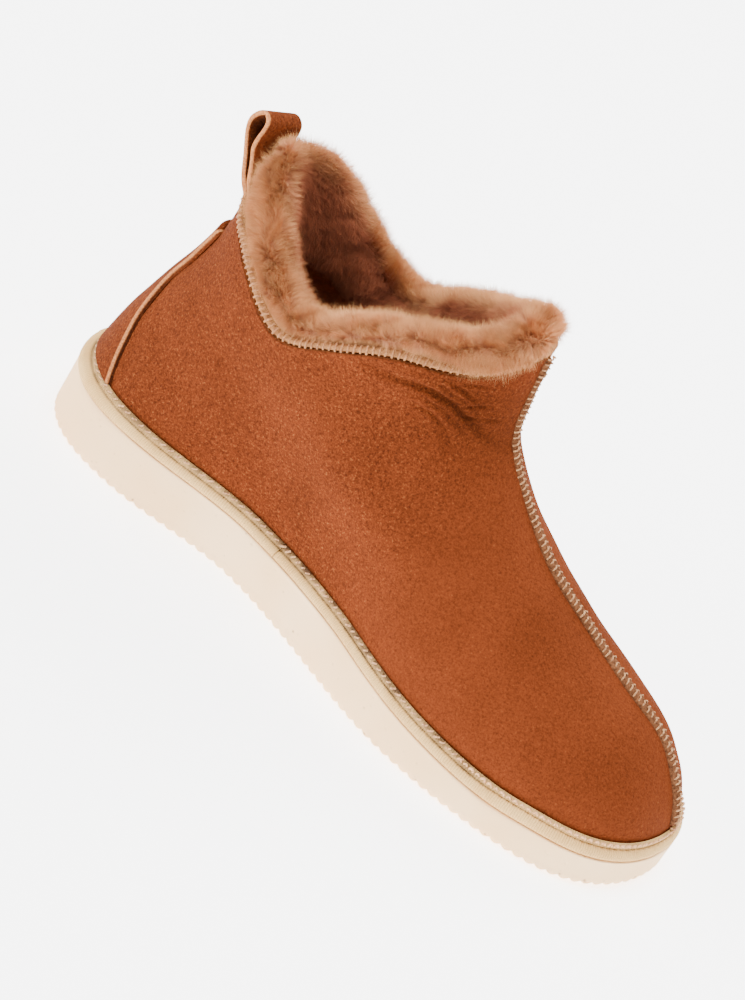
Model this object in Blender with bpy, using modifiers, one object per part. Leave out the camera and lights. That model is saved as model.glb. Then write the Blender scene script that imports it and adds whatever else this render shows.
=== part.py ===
"""Sheepskin ankle slipper for the left foot, standing on its wedge sole.

The named sizes are in millimetres and MM turns them into metres. +X points to the toe,
+Y to the outer side of the foot, -Y to its inner side, +Z up, and the floor is z = 0.

One function, surface_point, describes the outside of the upper as rings stacked from the
sole to the ankle. The upper, the tape, the heel stay and both seams are all cut from it.
A turn of 0 is the middle of the heel, 0.5 the middle of the toe; turns below 0.5 lie on
the inner side of the foot.
"""
import math
from collections import namedtuple
from functools import lru_cache

import bmesh
import bpy
from mathutils import Vector

MM = 0.001
COLLECTION = "sheepskin_slipper"

# Sole. Lengths run from the back of the heel.
SOLE_LENGTH = 270.0
TOE_SPRING = 1.6
TOE_SPRING_FROM = 215.0
LUG_COUNT = 124
LUG_DEPTH = 1.1
LUG_REACH = 4.0
LUG_BAND = 2.4
SOLE_EDGE_ROUND = 0.7
SoleHeight = namedtuple("SoleHeight", "x top")
SOLE_HEIGHTS = (
    SoleHeight(0.0, 23.0),
    SoleHeight(67.5, 20.7),
    SoleHeight(135.0, 17.8),
    SoleHeight(202.5, 13.4),
    SoleHeight(270.0, 12.9),
)

# Half widths of a closed outline, at fixed shares of its length, with its two end radii.
Widths = namedtuple("Widths", "heel_round heel waist ball toes toe_round")
WIDTH_SHARES = (0.15, 0.35, 0.65, 0.85)
SOLE_INNER = Widths(33.0, 33.3, 28.9, 48.4, 46.0, 54.0)
SOLE_OUTER = Widths(33.0, 33.4, 36.4, 46.2, 37.7, 29.0)

# Upper: one row for each ring, from the sole up to the ankle. Lifts are heights above
# the top of the sole, at the back, half way along the side, and at the front.
FOOT_GAP = 0.9
WALL = 3.0
GAP = 0.3
Ring = namedtuple("Ring", "back_x front_x lift_back lift_side lift_front")
RINGS = (
    Ring(4.8, 266.7, FOOT_GAP, FOOT_GAP, FOOT_GAP),
    Ring(6.6, 265.4, 11.0, 11.0, 11.0),
    Ring(9.2, 257.3, 23.0, 21.0, 22.9),
    Ring(12.2, 241.8, 33.0, 31.0, 34.3),
    Ring(16.0, 206.0, 45.0, 43.0, 46.5),
    Ring(20.4, 170.0, 57.5, 56.5, 63.0),
    Ring(23.8, 151.0, 70.5, 70.0, 80.5),
    Ring(24.8, 146.8, 81.0, 83.0, 97.0),
    Ring(23.4, 143.5, 93.0, 97.0, 116.0),
)
RING_INNER = (
    Widths(29.7, 30.0, 25.6, 45.1, 42.7, 50.7),
    Widths(28.0, 30.4, 27.0, 46.0, 43.0, 49.0),
    Widths(25.0, 29.6, 28.0, 43.5, 38.0, 35.0),
    Widths(22.0, 28.8, 29.4, 40.0, 31.5, 23.0),
    Widths(19.0, 27.8, 31.2, 37.0, 28.0, 17.0),
    Widths(16.0, 26.6, 33.2, 34.5, 25.8, 15.0),
    Widths(14.0, 25.6, 34.8, 33.8, 25.0, 15.0),
    Widths(12.0, 24.8, 35.8, 34.2, 24.8, 15.5),
    Widths(11.0, 24.2, 36.5, 35.0, 25.2, 16.0),
)
RING_OUTER = (
    Widths(29.7, 30.1, 33.1, 42.9, 34.4, 25.7),
    Widths(28.0, 30.4, 33.5, 42.4, 33.2, 23.0),
    Widths(25.0, 29.6, 33.0, 38.9, 27.2, 16.0),
    Widths(22.0, 28.8, 32.8, 34.8, 22.4, 11.5),
    Widths(19.0, 27.8, 33.2, 32.8, 21.6, 10.5),
    Widths(16.0, 26.6, 34.2, 32.8, 22.6, 11.0),
    Widths(14.0, 25.6, 35.4, 33.6, 23.6, 12.5),
    Widths(12.0, 24.8, 36.4, 34.8, 24.6, 14.5),
    Widths(11.0, 24.2, 37.2, 35.8, 25.4, 16.0),
)
TURNS = 60
ROWS = 14
HALVINGS = 24
TURN_STEP = 0.004
LEVEL_STEP = 0.1

# Collar line: height above the floor, at shares of the way from the heel to the instep.
CollarHeight = namedtuple("CollarHeight", "share z")
COLLAR_INNER = (
    CollarHeight(0.00, 113.0),
    CollarHeight(0.03, 105.2),
    CollarHeight(0.12, 102.0),
    CollarHeight(0.21, 98.2),
    CollarHeight(0.29, 94.0),
    CollarHeight(0.355, 91.9),
    CollarHeight(0.42, 94.0),
    CollarHeight(0.51, 100.6),
    CollarHeight(0.70, 113.4),
    CollarHeight(0.84, 118.8),
    CollarHeight(1.00, 132.0),
)
COLLAR_OUTER = (
    CollarHeight(0.00, 113.0),
    CollarHeight(0.03, 106.6),
    CollarHeight(0.12, 104.4),
    CollarHeight(0.25, 101.0),
    CollarHeight(0.38, 96.0),
    CollarHeight(0.465, 93.4),
    CollarHeight(0.55, 96.4),
    CollarHeight(0.70, 108.5),
    CollarHeight(0.85, 118.0),
    CollarHeight(1.00, 132.0),
)

# Welt tape: its section, as offsets from the upper and heights above the sole.
SectionPoint = namedtuple("SectionPoint", "out up")
TAPE_SECTION = (
    SectionPoint(0.35, 0.3),
    SectionPoint(2.4, 0.3),
    SectionPoint(3.2, 1.0),
    SectionPoint(3.4, 2.3),
    SectionPoint(3.0, 3.5),
    SectionPoint(2.0, 4.3),
    SectionPoint(1.2, 4.7),
    SectionPoint(1.7, 5.2),
    SectionPoint(1.6, 6.8),
    SectionPoint(0.35, 7.1),
)
TAPE_TOP = 7.1

# Insole, heel stay, seams and pull loop. Sections are offsets and heights, as the tape's is.
INSOLE_SECTION = (
    SectionPoint(-4.6, GAP),
    SectionPoint(-4.2, 2.5),
    SectionPoint(-5.4, 6.0),
)
StayWidth = namedtuple("StayWidth", "z half")
STAY_WIDTHS = (
    StayWidth(30.0, 26.5),
    StayWidth(44.0, 22.5),
    StayWidth(56.0, 16.5),
    StayWidth(68.0, 11.5),
    StayWidth(80.0, 8.5),
    StayWidth(95.0, 6.5),
)
STAY_GAP = 0.5
STAY_THICK = 1.4
STAY_TOP_Z = 95.0
STAY_STEPS = 8
HEEL_TURNS = 0.22
SEAM_SECTION = (
    SectionPoint(-2.3, 0.0),
    SectionPoint(-0.8, 0.0),
    SectionPoint(0.8, 0.0),
    SectionPoint(2.3, 0.0),
    SectionPoint(2.0, 1.2),
    SectionPoint(0.8, 1.8),
    SectionPoint(-0.8, 1.8),
    SectionPoint(-2.0, 1.2),
)
EDGE_ROUND = 1.6
EDGE_CENTRE = SectionPoint(-1.5, 2.3)
EDGE_SIDES = 6
LOOP_WIDTH = 18.0
LOOP_THICK = 2.0
LOOP_HALF_DEPTH = 4.2
LOOP_FOOT_UP = 4.7
LOOP_LEAN = 3.6
LOOP_TWIST = 1.9
LOOP_TOP_Z = 140.5
LOOP_STEPS = 16
LOOP_SLICES = 4

# Fleece collar: its section, as distances inwards from the collar line and heights above it.
FleecePoint = namedtuple("FleecePoint", "inward up")
FLEECE_SECTION = (
    FleecePoint(4.6, -9.0),
    FleecePoint(4.4, 0.5),
    FleecePoint(3.4, 4.6),
    FleecePoint(1.0, 5.0),
    FleecePoint(0.2, 8.0),
    FleecePoint(2.4, 11.4),
    FleecePoint(6.5, 12.8),
    FleecePoint(11.5, 11.6),
    FleecePoint(15.2, 7.0),
    FleecePoint(16.0, 0.0),
    FleecePoint(14.0, -8.0),
    FleecePoint(8.5, -12.5),
)
FleeceHeight = namedtuple("FleeceHeight", "share inner outer")
FLEECE_HEIGHTS = (
    FleeceHeight(0.00, 1.80, 1.80),
    FleeceHeight(0.05, 1.70, 2.90),
    FleeceHeight(0.10, 1.50, 2.80),
    FleeceHeight(0.17, 1.30, 2.00),
    FleeceHeight(0.25, 1.10, 1.30),
    FleeceHeight(0.34, 1.00, 0.70),
    FleeceHeight(0.44, 0.85, 0.70),
    FleeceHeight(0.65, 0.72, 0.60),
    FleeceHeight(1.00, 0.80, 0.80),
)
FLEECE_STANDS_FROM = 5.0
FLEECE_TURNS = 72
FLEECE_BARE = (0, 1, 2, 11)
LOCK_LENGTH = 3.2
LOCK_SPREAD = 1.6
LOCK_DROOP = 0.3
OPENING_HALF_WIDTH = 36.0
LOOP_ROOM = 9.0
LOOP_ROOM_TURN = 0.11

SHARP_ANGLE = math.radians(40.0)
Finish = namedtuple("Finish", "colour roughness")
SUEDE = Finish((0.412, 0.115, 0.030, 1.0), 0.92)
FLEECE = Finish((0.520, 0.270, 0.150, 1.0), 0.95)
FOAM = Finish((0.850, 0.760, 0.650, 1.0), 0.80)
TAPE = Finish((0.790, 0.700, 0.490, 1.0), 0.75)
THREAD = Finish((0.680, 0.460, 0.260, 1.0), 0.80)


# ---------------------------------------------------------------- curves and surface

def cubic_through(knots, values, at):
    """Smooth curve through the knots, held level past both ends."""
    last = len(knots) - 1
    if at <= knots[0]:
        return values[0]
    if at >= knots[last]:
        return values[last]
    index = max(i for i in range(last) if knots[i] <= at)
    low = max(index - 1, 0)
    high = min(index + 2, last)
    span = knots[index + 1] - knots[index]
    slope_in = (values[index + 1] - values[low]) / (knots[index + 1] - knots[low])
    slope_out = (values[high] - values[index]) / (knots[high] - knots[index])
    t = (at - knots[index]) / span
    rise = t * t * (3.0 - 2.0 * t)
    leave = t * (1.0 - t) ** 2 * slope_in * span
    arrive = t * t * (1.0 - t) * slope_out * span
    return values[index] * (1.0 - rise) + values[index + 1] * rise + leave - arrive


def column_wise(rows, level):
    """Row of a table at a level between its rows, each column taken on its own."""
    knots = range(len(rows))
    return type(rows[0])(*(cubic_through(knots, column, level) for column in zip(*rows)))


def outline_y(widths, share, length):
    """Half width of a closed outline that has round ends."""
    bulge = 2.0 * math.sqrt(max(share * (1.0 - share), 0.0))
    knots = (0.0,) + WIDTH_SHARES + (1.0,)
    middle = (widths.heel, widths.waist, widths.ball, widths.toes)
    fullness = [w / (2.0 * math.sqrt(s * (1.0 - s))) for w, s in zip(middle, WIDTH_SHARES)]
    heel_end = math.sqrt(widths.heel_round * length / 2.0)
    toe_end = math.sqrt(widths.toe_round * length / 2.0)
    return bulge * cubic_through(knots, [heel_end] + fullness + [toe_end], share)


def share_of(turn):
    """Share of the way from the heel to the toe that a turn has come."""
    return (1.0 - math.cos(2.0 * math.pi * turn)) / 2.0


def on_inner_side(turn):
    """True on the half of the outline that faces the other foot."""
    return turn % 1.0 <= 0.5


def sole_top(x):
    """Height of the top of the sole."""
    return cubic_through([row.x for row in SOLE_HEIGHTS], [row.top for row in SOLE_HEIGHTS], x)


def sole_bottom(x):
    """Height of the tread above the floor: flat, then a slight toe spring."""
    rise = max(x - TOE_SPRING_FROM, 0.0) / (SOLE_LENGTH - TOE_SPRING_FROM)
    return TOE_SPRING * rise * rise


def sole_outline(turn, inset):
    """Point of the sole's outline seen from above, moved inwards by the inset."""
    widths = SOLE_INNER if on_inner_side(turn) else SOLE_OUTER
    inner = Widths(*(size - inset for size in widths))
    length = SOLE_LENGTH - 2.0 * inset
    share = share_of(turn)
    side = -1.0 if on_inner_side(turn) else 1.0
    return inset + length * share, side * outline_y(inner, share, length)


def surface_point(turn, level):
    """Point on the outside of the upper, level 0 at the sole and 8 at the ankle."""
    ring = column_wise(RINGS, level)
    widths = column_wise(RING_INNER if on_inner_side(turn) else RING_OUTER, level)
    length = ring.front_x - ring.back_x
    share = share_of(turn)
    side = -1.0 if on_inner_side(turn) else 1.0
    x = ring.back_x + length * share
    lift = cubic_through((0.0, 0.5, 1.0), (ring.lift_back, ring.lift_side, ring.lift_front), share)
    return Vector((x, side * outline_y(widths, share, length), sole_top(x) + lift))


def surface_normal(turn, level):
    """Outward direction of the upper."""
    above = min(level + LEVEL_STEP, len(RINGS) - 1)
    below = max(level - LEVEL_STEP, 0)
    around = surface_point(turn + TURN_STEP, level) - surface_point(turn - TURN_STEP, level)
    upward = surface_point(turn, above) - surface_point(turn, below)
    return around.cross(upward).normalized()


@lru_cache(maxsize=None)
def collar_level(turn):
    """Level at which the upper is cut off along the collar line."""
    collar = COLLAR_INNER if on_inner_side(turn) else COLLAR_OUTER
    goal = cubic_through([row.share for row in collar], [row.z for row in collar], share_of(turn))
    low = 0.0
    high = float(len(RINGS) - 1)
    for _ in range(HALVINGS):
        middle = (low + high) / 2.0
        if surface_point(turn, middle).z < goal:
            low = middle
        else:
            high = middle
    return (low + high) / 2.0


def wall_point(turn, climb, out):
    """Point on the upper, climb 0 at the sole and 1 at the collar, out from its surface."""
    level = climb * collar_level(turn)
    return surface_point(turn, level) + surface_normal(turn, level) * out


def foot_point(turn, up, out):
    """Point beside the lowest part of the upper, up from the top of the sole."""
    first = RINGS[1].lift_side
    level = max(up - FOOT_GAP, 0.0) / (first - FOOT_GAP)
    base = surface_point(turn, level)
    outward = surface_normal(turn, level)
    outward.z = 0.0
    point = base + outward.normalized() * out
    point.z = sole_top(base.x) + up
    return point


# ---------------------------------------------------------------- meshes

def shift_to_origin(point):
    """From lengths along the sole, in millimetres, to metres about the part's origin."""
    x, y, z = point
    return Vector(((x - SOLE_LENGTH / 2.0) * MM, (y - sole_middle_y()) * MM, z * MM))


@lru_cache(maxsize=None)
def sole_middle_y():
    """Middle of the sole's greatest width."""
    sides = [sole_outline(i / (2 * LUG_COUNT), 0.0)[1] for i in range(2 * LUG_COUNT)]
    return (min(sides) + max(sides)) / 2.0


def finish_object(name, vertices, faces, finish):
    """Mesh object in the slipper's collection, with its own material."""
    mesh = bpy.data.meshes.new(name)
    mesh.from_pydata([shift_to_origin(v) for v in vertices], [], faces)
    fix = bmesh.new()
    fix.from_mesh(mesh)
    bmesh.ops.recalc_face_normals(fix, faces=fix.faces)
    fix.to_mesh(mesh)
    fix.free()
    mesh.shade_smooth()
    mesh.set_sharp_from_angle(angle=SHARP_ANGLE)
    part = bpy.data.objects.new(name, mesh)
    bpy.data.collections[COLLECTION].objects.link(part)
    mesh.materials.append(principled(name, finish))
    return part


def principled(name, finish):
    """Principled material of one colour and roughness."""
    material = bpy.data.materials.new(name + "_finish")
    material.use_nodes = True
    shader = material.node_tree.nodes["Principled BSDF"]
    shader.inputs["Base Color"].default_value = finish.colour
    shader.inputs["Roughness"].default_value = finish.roughness
    shader.inputs["Metallic"].default_value = 0.0
    return material


def strip_faces(first, second, count, closed):
    """Quads between two rows of vertices."""
    last = count if closed else count - 1
    return [
        (first + i, first + (i + 1) % count, second + (i + 1) % count, second + i)
        for i in range(last)
    ]


def lid_faces(start, count):
    """Flat strips across a closed outline, from each inner side point to its outer one."""
    half = count // 2
    faces = [(start, start + 1, start + count - 1)]
    for i in range(1, half - 1):
        faces.append((start + i, start + i + 1, start + count - i - 1, start + count - i))
    faces.append((start + half - 1, start + half, start + half + 1))
    return faces


def loft(rows, closed_rows, closed_path):
    """Vertices and quads through equal rows of points."""
    count = len(rows[0])
    vertices = [point for row in rows for point in row]
    faces = []
    spans = len(rows) if closed_path else len(rows) - 1
    for i in range(spans):
        faces += strip_faces(i * count, (i + 1) % len(rows) * count, count, closed_rows)
    return vertices, faces


# ---------------------------------------------------------------- sub-parts

def make_outsole():
    """Wedge of foam: ribbed at its lower edge, upright wall, flat on top."""
    count = 2 * LUG_COUNT
    rows = [[], [], [], [], []]
    for i in range(count):
        turn = i / count
        tread_x, tread_y = sole_outline(turn, LUG_REACH)
        x, y = sole_outline(turn, 0.0)
        top_x, top_y = sole_outline(turn, SOLE_EDGE_ROUND)
        notch = LUG_DEPTH * (i % 2)
        rows[0].append((tread_x, tread_y, sole_bottom(tread_x)))
        rows[1].append((x, y, sole_bottom(x) + notch))
        rows[2].append((x, y, sole_bottom(x) + LUG_BAND))
        rows[3].append((x, y, sole_top(x) - SOLE_EDGE_ROUND))
        rows[4].append((top_x, top_y, sole_top(top_x)))
    vertices, faces = loft(rows, True, False)
    faces += lid_faces(0, count)
    faces += lid_faces(4 * count, count)
    return finish_object("outsole", vertices, faces, FOAM)


def make_insole():
    """Fleece sock that lies on the sole inside the upper."""
    rows = []
    for point in INSOLE_SECTION:
        rows.append([foot_point(i / TURNS, point.up, point.out) for i in range(TURNS)])
    vertices, faces = loft(rows, True, False)
    faces += lid_faces(0, TURNS)
    faces += lid_faces((len(rows) - 1) * TURNS, TURNS)
    return finish_object("insole", vertices, faces, FLEECE)


def make_upper():
    """Hollow sheepskin upper, open at the collar and underneath."""
    rows = []
    for row in range(ROWS + 1):
        rows.append([wall_point(i / TURNS, row / ROWS, 0.0) for i in range(TURNS)])
    vertices, faces = loft(rows, True, False)
    upper = finish_object("upper", vertices, faces, SUEDE)
    wall = upper.modifiers.new("sheepskin_wall", "SOLIDIFY")
    wall.thickness = WALL * MM
    wall.offset = -1.0
    wall.use_even_offset = True
    return upper


def make_welt_tape():
    """Corded tape round the foot of the upper, with a flange stitched to the suede."""
    rows = []
    for i in range(TURNS):
        rows.append([foot_point(i / TURNS, point.up, point.out) for point in TAPE_SECTION])
    vertices, faces = loft(rows, True, True)
    return finish_object("welt_tape", vertices, faces, TAPE)


def turn_at_width(middle, climb, width):
    """Turn at which the upper is a given arc length away from a middle line."""
    here = wall_point(middle, climb, 0.0)
    beside = wall_point(middle + TURN_STEP, climb, 0.0)
    return middle + TURN_STEP * width / (beside - here).length


def climb_above_tape(turn):
    """Climb of the first point clear of the tape's upper edge."""
    return (TAPE_TOP + 2.0 * GAP) / RINGS[1].lift_side / collar_level(turn)


def climb_at_height(turn, z):
    """Climb at which the upper reaches a height above the floor."""
    low = 0.0
    high = 1.0
    for _ in range(HALVINGS):
        middle = (low + high) / 2.0
        if wall_point(turn, middle, 0.0).z < z:
            low = middle
        else:
            high = middle
    return (low + high) / 2.0


def upright_rows(turn, top):
    """The upper's own rows between the tape and a height, so that facets match."""
    low = climb_above_tape(turn)
    clear = 0.25 / ROWS
    inside = [row / ROWS for row in range(ROWS + 1) if low + clear < row / ROWS < top - clear]
    return [low] + inside + [top]


def turn_at_side(climb, across):
    """Turn near the heel at which the upper lies a given distance to the side."""
    sign = 1.0 if across <= 0.0 else -1.0
    low = 0.0
    high = HEEL_TURNS
    for _ in range(HALVINGS):
        middle = (low + high) / 2.0
        if abs(wall_point(sign * middle % 1.0, climb, 0.0).y) < abs(across):
            low = middle
        else:
            high = middle
    return sign * (low + high) / 2.0 % 1.0


def make_heel_stay():
    """Strap sewn up the back of the heel, wide at the sole and narrow at the loop."""
    heights = [row.z for row in STAY_WIDTHS]
    halves = [row.half for row in STAY_WIDTHS]
    rows = []
    climbs = upright_rows(0.0, climb_at_height(0.0, STAY_TOP_Z))
    for climb in climbs:
        half = cubic_through(heights, halves, wall_point(0.0, climb, 0.0).z)
        edge = turn_at_side(climb, -half)
        under = []
        over = []
        for i in range(STAY_STEPS + 1):
            turn = edge * (2.0 * i / STAY_STEPS - 1.0)
            here = climb_at_height(turn, STAY_TOP_Z) if climb == climbs[-1] else climb
            under.append(wall_point(turn, here, STAY_GAP))
            over.append(wall_point(turn, here, STAY_GAP + STAY_THICK))
        rows.append(under + over[::-1])
    vertices, faces = loft(rows, True, False)
    faces += end_caps(len(rows), len(rows[0]))
    return finish_object("heel_stay", vertices, faces, SUEDE)


def end_caps(row_count, count):
    """Quads that close both ends of a strip whose rows run out and back."""
    faces = []
    for start in (0, (row_count - 1) * count):
        for i in range(count // 2 - 1):
            faces.append((start + i, start + i + 1, start + count - i - 2, start + count - i - 1))
    return faces


def make_front_seam():
    """Raised overlocked ridge that joins the two halves, from the collar to the toe."""
    rows = []
    for climb in upright_rows(0.5, 1.0):
        row = []
        for point in SEAM_SECTION:
            turn = turn_at_width(0.5, climb, point.out)
            row.append(wall_point(turn, climb, GAP + point.up))
        rows.append(row)
    vertices, faces = loft(rows, True, False)
    faces += end_caps(len(rows), len(SEAM_SECTION))
    return finish_object("front_seam", vertices, faces, THREAD)


def collar_point(turn, inward, up):
    """Point about the collar line, moved towards the middle of the opening."""
    edge = wall_point(turn, 1.0, 0.0)
    share = share_of(turn)
    x = edge.x + inward * (1.0 - 2.0 * share)
    y = edge.y * (1.0 - inward / OPENING_HALF_WIDTH)
    return Vector((x, y, edge.z + up))


def make_collar_seam():
    """Overlocked edge that runs all round the collar."""
    rows = []
    for i in range(TURNS):
        row = []
        for side in range(EDGE_SIDES):
            angle = 2.0 * math.pi * (side + 0.5) / EDGE_SIDES
            inward = -EDGE_CENTRE.out + EDGE_ROUND * math.cos(angle)
            row.append(collar_point(i / TURNS, inward, EDGE_CENTRE.up + EDGE_ROUND * math.sin(angle)))
        rows.append(row)
    vertices, faces = loft(rows, True, True)
    return finish_object("collar_seam", vertices, faces, THREAD)


def scatter(a, b):
    """Repeatable value from 0 to 1 for a pair of counts."""
    return math.modf(math.sin(12.9898 * a + 78.233 * b) * 43758.5453)[0] % 1.0


def fleece_point(turn, point):
    """Point of the fleece roll, held clear of the pull loop at the heel."""
    from_heel = min(turn, 1.0 - turn)
    room = LOOP_ROOM * min(1.0, (LOOP_ROOM_TURN - from_heel) / (LOOP_ROOM_TURN / 3.0))
    inward = max(point.inward, room) if from_heel < LOOP_ROOM_TURN else point.inward
    shares = [row.share for row in FLEECE_HEIGHTS]
    scales = [row.inner if on_inner_side(turn) else row.outer for row in FLEECE_HEIGHTS]
    scale = cubic_through(shares, scales, share_of(turn))
    stand = max(point.up - FLEECE_STANDS_FROM, 0.0)
    return collar_point(turn, inward, point.up + stand * (scale - 1.0))


def make_fleece_collar():
    """Roll of deep fleece over the collar, with a pointed lock on each outer facet."""
    count = len(FLEECE_SECTION)
    rows = []
    for i in range(FLEECE_TURNS):
        turn = i / FLEECE_TURNS
        rows.append([fleece_point(turn, point) for point in FLEECE_SECTION])
    vertices, faces = loft(rows, True, True)
    shaped = []
    for index, face in enumerate(faces):
        path, side = divmod(index, count)
        if side in FLEECE_BARE:
            shaped.append(face)
            continue
        corners = [Vector(vertices[v]) for v in face]
        centre = sum(corners, Vector()) / 4.0
        roll = sum((Vector(v) for v in rows[path]), Vector()) / count
        outward = (centre - roll).normalized()
        stray = Vector((scatter(path, side) - 0.5, scatter(side, path) - 0.5, -LOCK_DROOP))
        length = LOCK_LENGTH * (0.5 + scatter(path + count, side))
        tip = centre + outward * length + stray * LOCK_SPREAD
        vertices.append(tip)
        peak = len(vertices) - 1
        shaped += [(face[k], face[(k + 1) % 4], peak) for k in range(4)]
    return finish_object("fleece_collar", vertices, shaped, FLEECE)


def loop_outlines():
    """Side outline of the pull loop and of the hole in it, as depths and heights."""
    foot = collar_point(0.0, -EDGE_CENTRE.out, LOOP_FOOT_UP)
    hole_foot = foot.z + LOOP_THICK
    hole_top = LOOP_TOP_Z - LOOP_THICK
    outer = []
    hole = []
    for i in range(LOOP_STEPS + 1):
        angle = 2.0 * math.pi * i / LOOP_STEPS
        rise = (1.0 - math.cos(angle)) / 2.0
        lean = -LOOP_LEAN * rise * (2.0 - rise)
        bow = LOOP_HALF_DEPTH * math.sin(angle) * (0.5 + 0.5 * rise)
        side = LOOP_THICK * (i / LOOP_STEPS - 0.5)
        outer.append((foot.x + side + lean - bow, foot.z + (LOOP_TOP_Z - foot.z) * rise))
        if i < LOOP_STEPS:
            slim = 1.0 - LOOP_THICK / LOOP_HALF_DEPTH
            hole.append((foot.x + lean - bow * slim, hole_foot + (hole_top - hole_foot) * rise))
    return outer, hole


def make_pull_loop():
    """Strap folded into a slim loop that stands on the back of the collar."""
    curve = bpy.data.curves.new("pull_loop_outline", "CURVE")
    curve.dimensions = "2D"
    curve.fill_mode = "BOTH"
    curve.extrude = LOOP_WIDTH / 2.0
    for outline in loop_outlines():
        spline = curve.splines.new("POLY")
        spline.points.add(len(outline) - 1)
        spline.use_cyclic_u = True
        for knot, (depth, height) in zip(spline.points, outline):
            knot.co = (depth, height, 0.0, 1.0)
    flat = bpy.data.objects.new("pull_loop_outline", curve)
    bpy.context.scene.collection.objects.link(flat)
    bpy.context.view_layer.update()
    mesh = bpy.data.meshes.new_from_object(flat.evaluated_get(bpy.context.evaluated_depsgraph_get()))
    bpy.data.objects.remove(flat, do_unlink=True)
    strap = bmesh.new()
    strap.from_mesh(mesh)
    bmesh.ops.remove_doubles(strap, verts=strap.verts, dist=0.01)
    for cut in range(1, LOOP_SLICES):
        place = Vector((0.0, 0.0, LOOP_WIDTH * (cut / LOOP_SLICES - 0.5)))
        every = strap.verts[:] + strap.edges[:] + strap.faces[:]
        bmesh.ops.bisect_plane(strap, geom=every, plane_co=place, plane_no=(0.0, 0.0, 1.0))
    strap.verts.index_update()
    vertices = [loop_place(*vertex.co) for vertex in strap.verts]
    faces = [tuple(v.index for v in face.verts) for face in strap.faces]
    strap.free()
    return finish_object("pull_loop", vertices, faces, SUEDE)


def loop_place(depth, height, across):
    """Place in the slipper of a point of the loop: curved at its foot, twisted at its top."""
    turn = turn_at_side(1.0, across)
    middle = collar_point(0.0, -EDGE_CENTRE.out, LOOP_FOOT_UP)
    bend = collar_point(turn, -EDGE_CENTRE.out, LOOP_FOOT_UP) - middle
    rise = min(max((height - middle.z) / (LOOP_TOP_Z - middle.z), 0.0), 1.0)
    hug = (1.0 - rise) ** 3
    twist = LOOP_TWIST * rise * across / (LOOP_WIDTH / 2.0)
    return depth + bend.x * hug + twist, across, height + bend.z * hug - twist


def clear_scene():
    """Remove every object that the file starts with."""
    for old in list(bpy.data.objects):
        bpy.data.objects.remove(old, do_unlink=True)


def main():
    """Build every sub-part in the slipper's collection."""
    clear_scene()
    collection = bpy.data.collections.new(COLLECTION)
    bpy.context.scene.collection.children.link(collection)
    make_outsole()
    make_insole()
    make_upper()
    make_welt_tape()
    make_heel_stay()
    make_front_seam()
    make_collar_seam()
    make_fleece_collar()
    make_pull_loop()


main()
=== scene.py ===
"""Looks of the sheepskin ankle slipper: every surface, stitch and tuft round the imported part.

Lengths are in millimetres from the back of the heel, and MM turns them into metres at the
end. +X points to the toe, +Y to the outer side of the foot, +Z up, and the floor is z = 0.
"""

import logging
import math
from dataclasses import dataclass, replace
from enum import Enum
from typing import Callable, NamedTuple, Optional, Sequence, Union

import bmesh
import bpy
import numpy as np
from mathutils import Matrix, Quaternion, Vector


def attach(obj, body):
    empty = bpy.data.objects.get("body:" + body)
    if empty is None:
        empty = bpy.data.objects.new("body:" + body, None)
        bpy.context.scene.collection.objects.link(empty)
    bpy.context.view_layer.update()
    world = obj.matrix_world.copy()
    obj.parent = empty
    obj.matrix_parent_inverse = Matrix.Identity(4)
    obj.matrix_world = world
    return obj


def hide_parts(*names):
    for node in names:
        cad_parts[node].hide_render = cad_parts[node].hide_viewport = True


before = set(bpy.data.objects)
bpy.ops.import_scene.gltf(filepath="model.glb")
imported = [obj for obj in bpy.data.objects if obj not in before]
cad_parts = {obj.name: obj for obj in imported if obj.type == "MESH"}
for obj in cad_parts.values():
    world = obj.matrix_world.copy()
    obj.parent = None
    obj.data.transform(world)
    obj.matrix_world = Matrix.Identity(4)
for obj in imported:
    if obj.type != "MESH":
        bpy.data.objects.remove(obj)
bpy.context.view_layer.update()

MM = 0.001
BODY = "root"
LOG = logging.getLogger("slipper")
Array = np.ndarray
Numbers = Union[float, Array]
Object = bpy.types.Object
Material = bpy.types.Material
Socket = bpy.types.NodeSocket
Outputs = bpy.types.bpy_prop_collection


# ---------------------------------------------------------------- the last

class Knot(NamedTuple):
    """A value at a place along the shoe."""

    at: float
    value: float


class Widths(NamedTuple):
    """Half widths along an outline, with the radii of its two ends."""

    heel_round: float
    heel: float
    waist: float
    ball: float
    toes: float
    toe_round: float


class Ring(NamedTuple):
    """One ring of the upper: its two ends and its lifts above the sole."""

    back_x: float
    front_x: float
    lift_back: float
    lift_side: float
    lift_front: float


SOLE_LENGTH = 270.0
TOE_SPRING = 1.6
TOE_SPRING_FROM = 215.0
SOLE_TOP = tuple(Knot(*row) for row in (
    (0.0, 23.0), (67.5, 20.7), (135.0, 17.8), (202.5, 13.4), (270.0, 12.9)))
WIDTH_SHARES = (0.15, 0.35, 0.65, 0.85)
SOLE_INNER = Widths(33.0, 33.3, 28.9, 48.4, 46.0, 54.0)
SOLE_OUTER = Widths(33.0, 33.4, 36.4, 46.2, 37.7, 29.0)
FOOT_GAP = 0.9
RINGS = tuple(Ring(*row) for row in (
    (4.8, 266.7, FOOT_GAP, FOOT_GAP, FOOT_GAP),
    (6.6, 265.4, 11.0, 11.0, 11.0),
    (9.2, 257.3, 23.0, 21.0, 22.9),
    (12.2, 241.8, 33.0, 31.0, 34.3),
    (16.0, 206.0, 45.0, 43.0, 46.5),
    (20.4, 170.0, 57.5, 56.5, 63.0),
    (23.8, 150.2, 70.5, 70.0, 80.5),
    (24.8, 145.2, 81.0, 83.0, 97.0),
    (23.4, 143.5, 93.0, 97.0, 116.0)))
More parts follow.
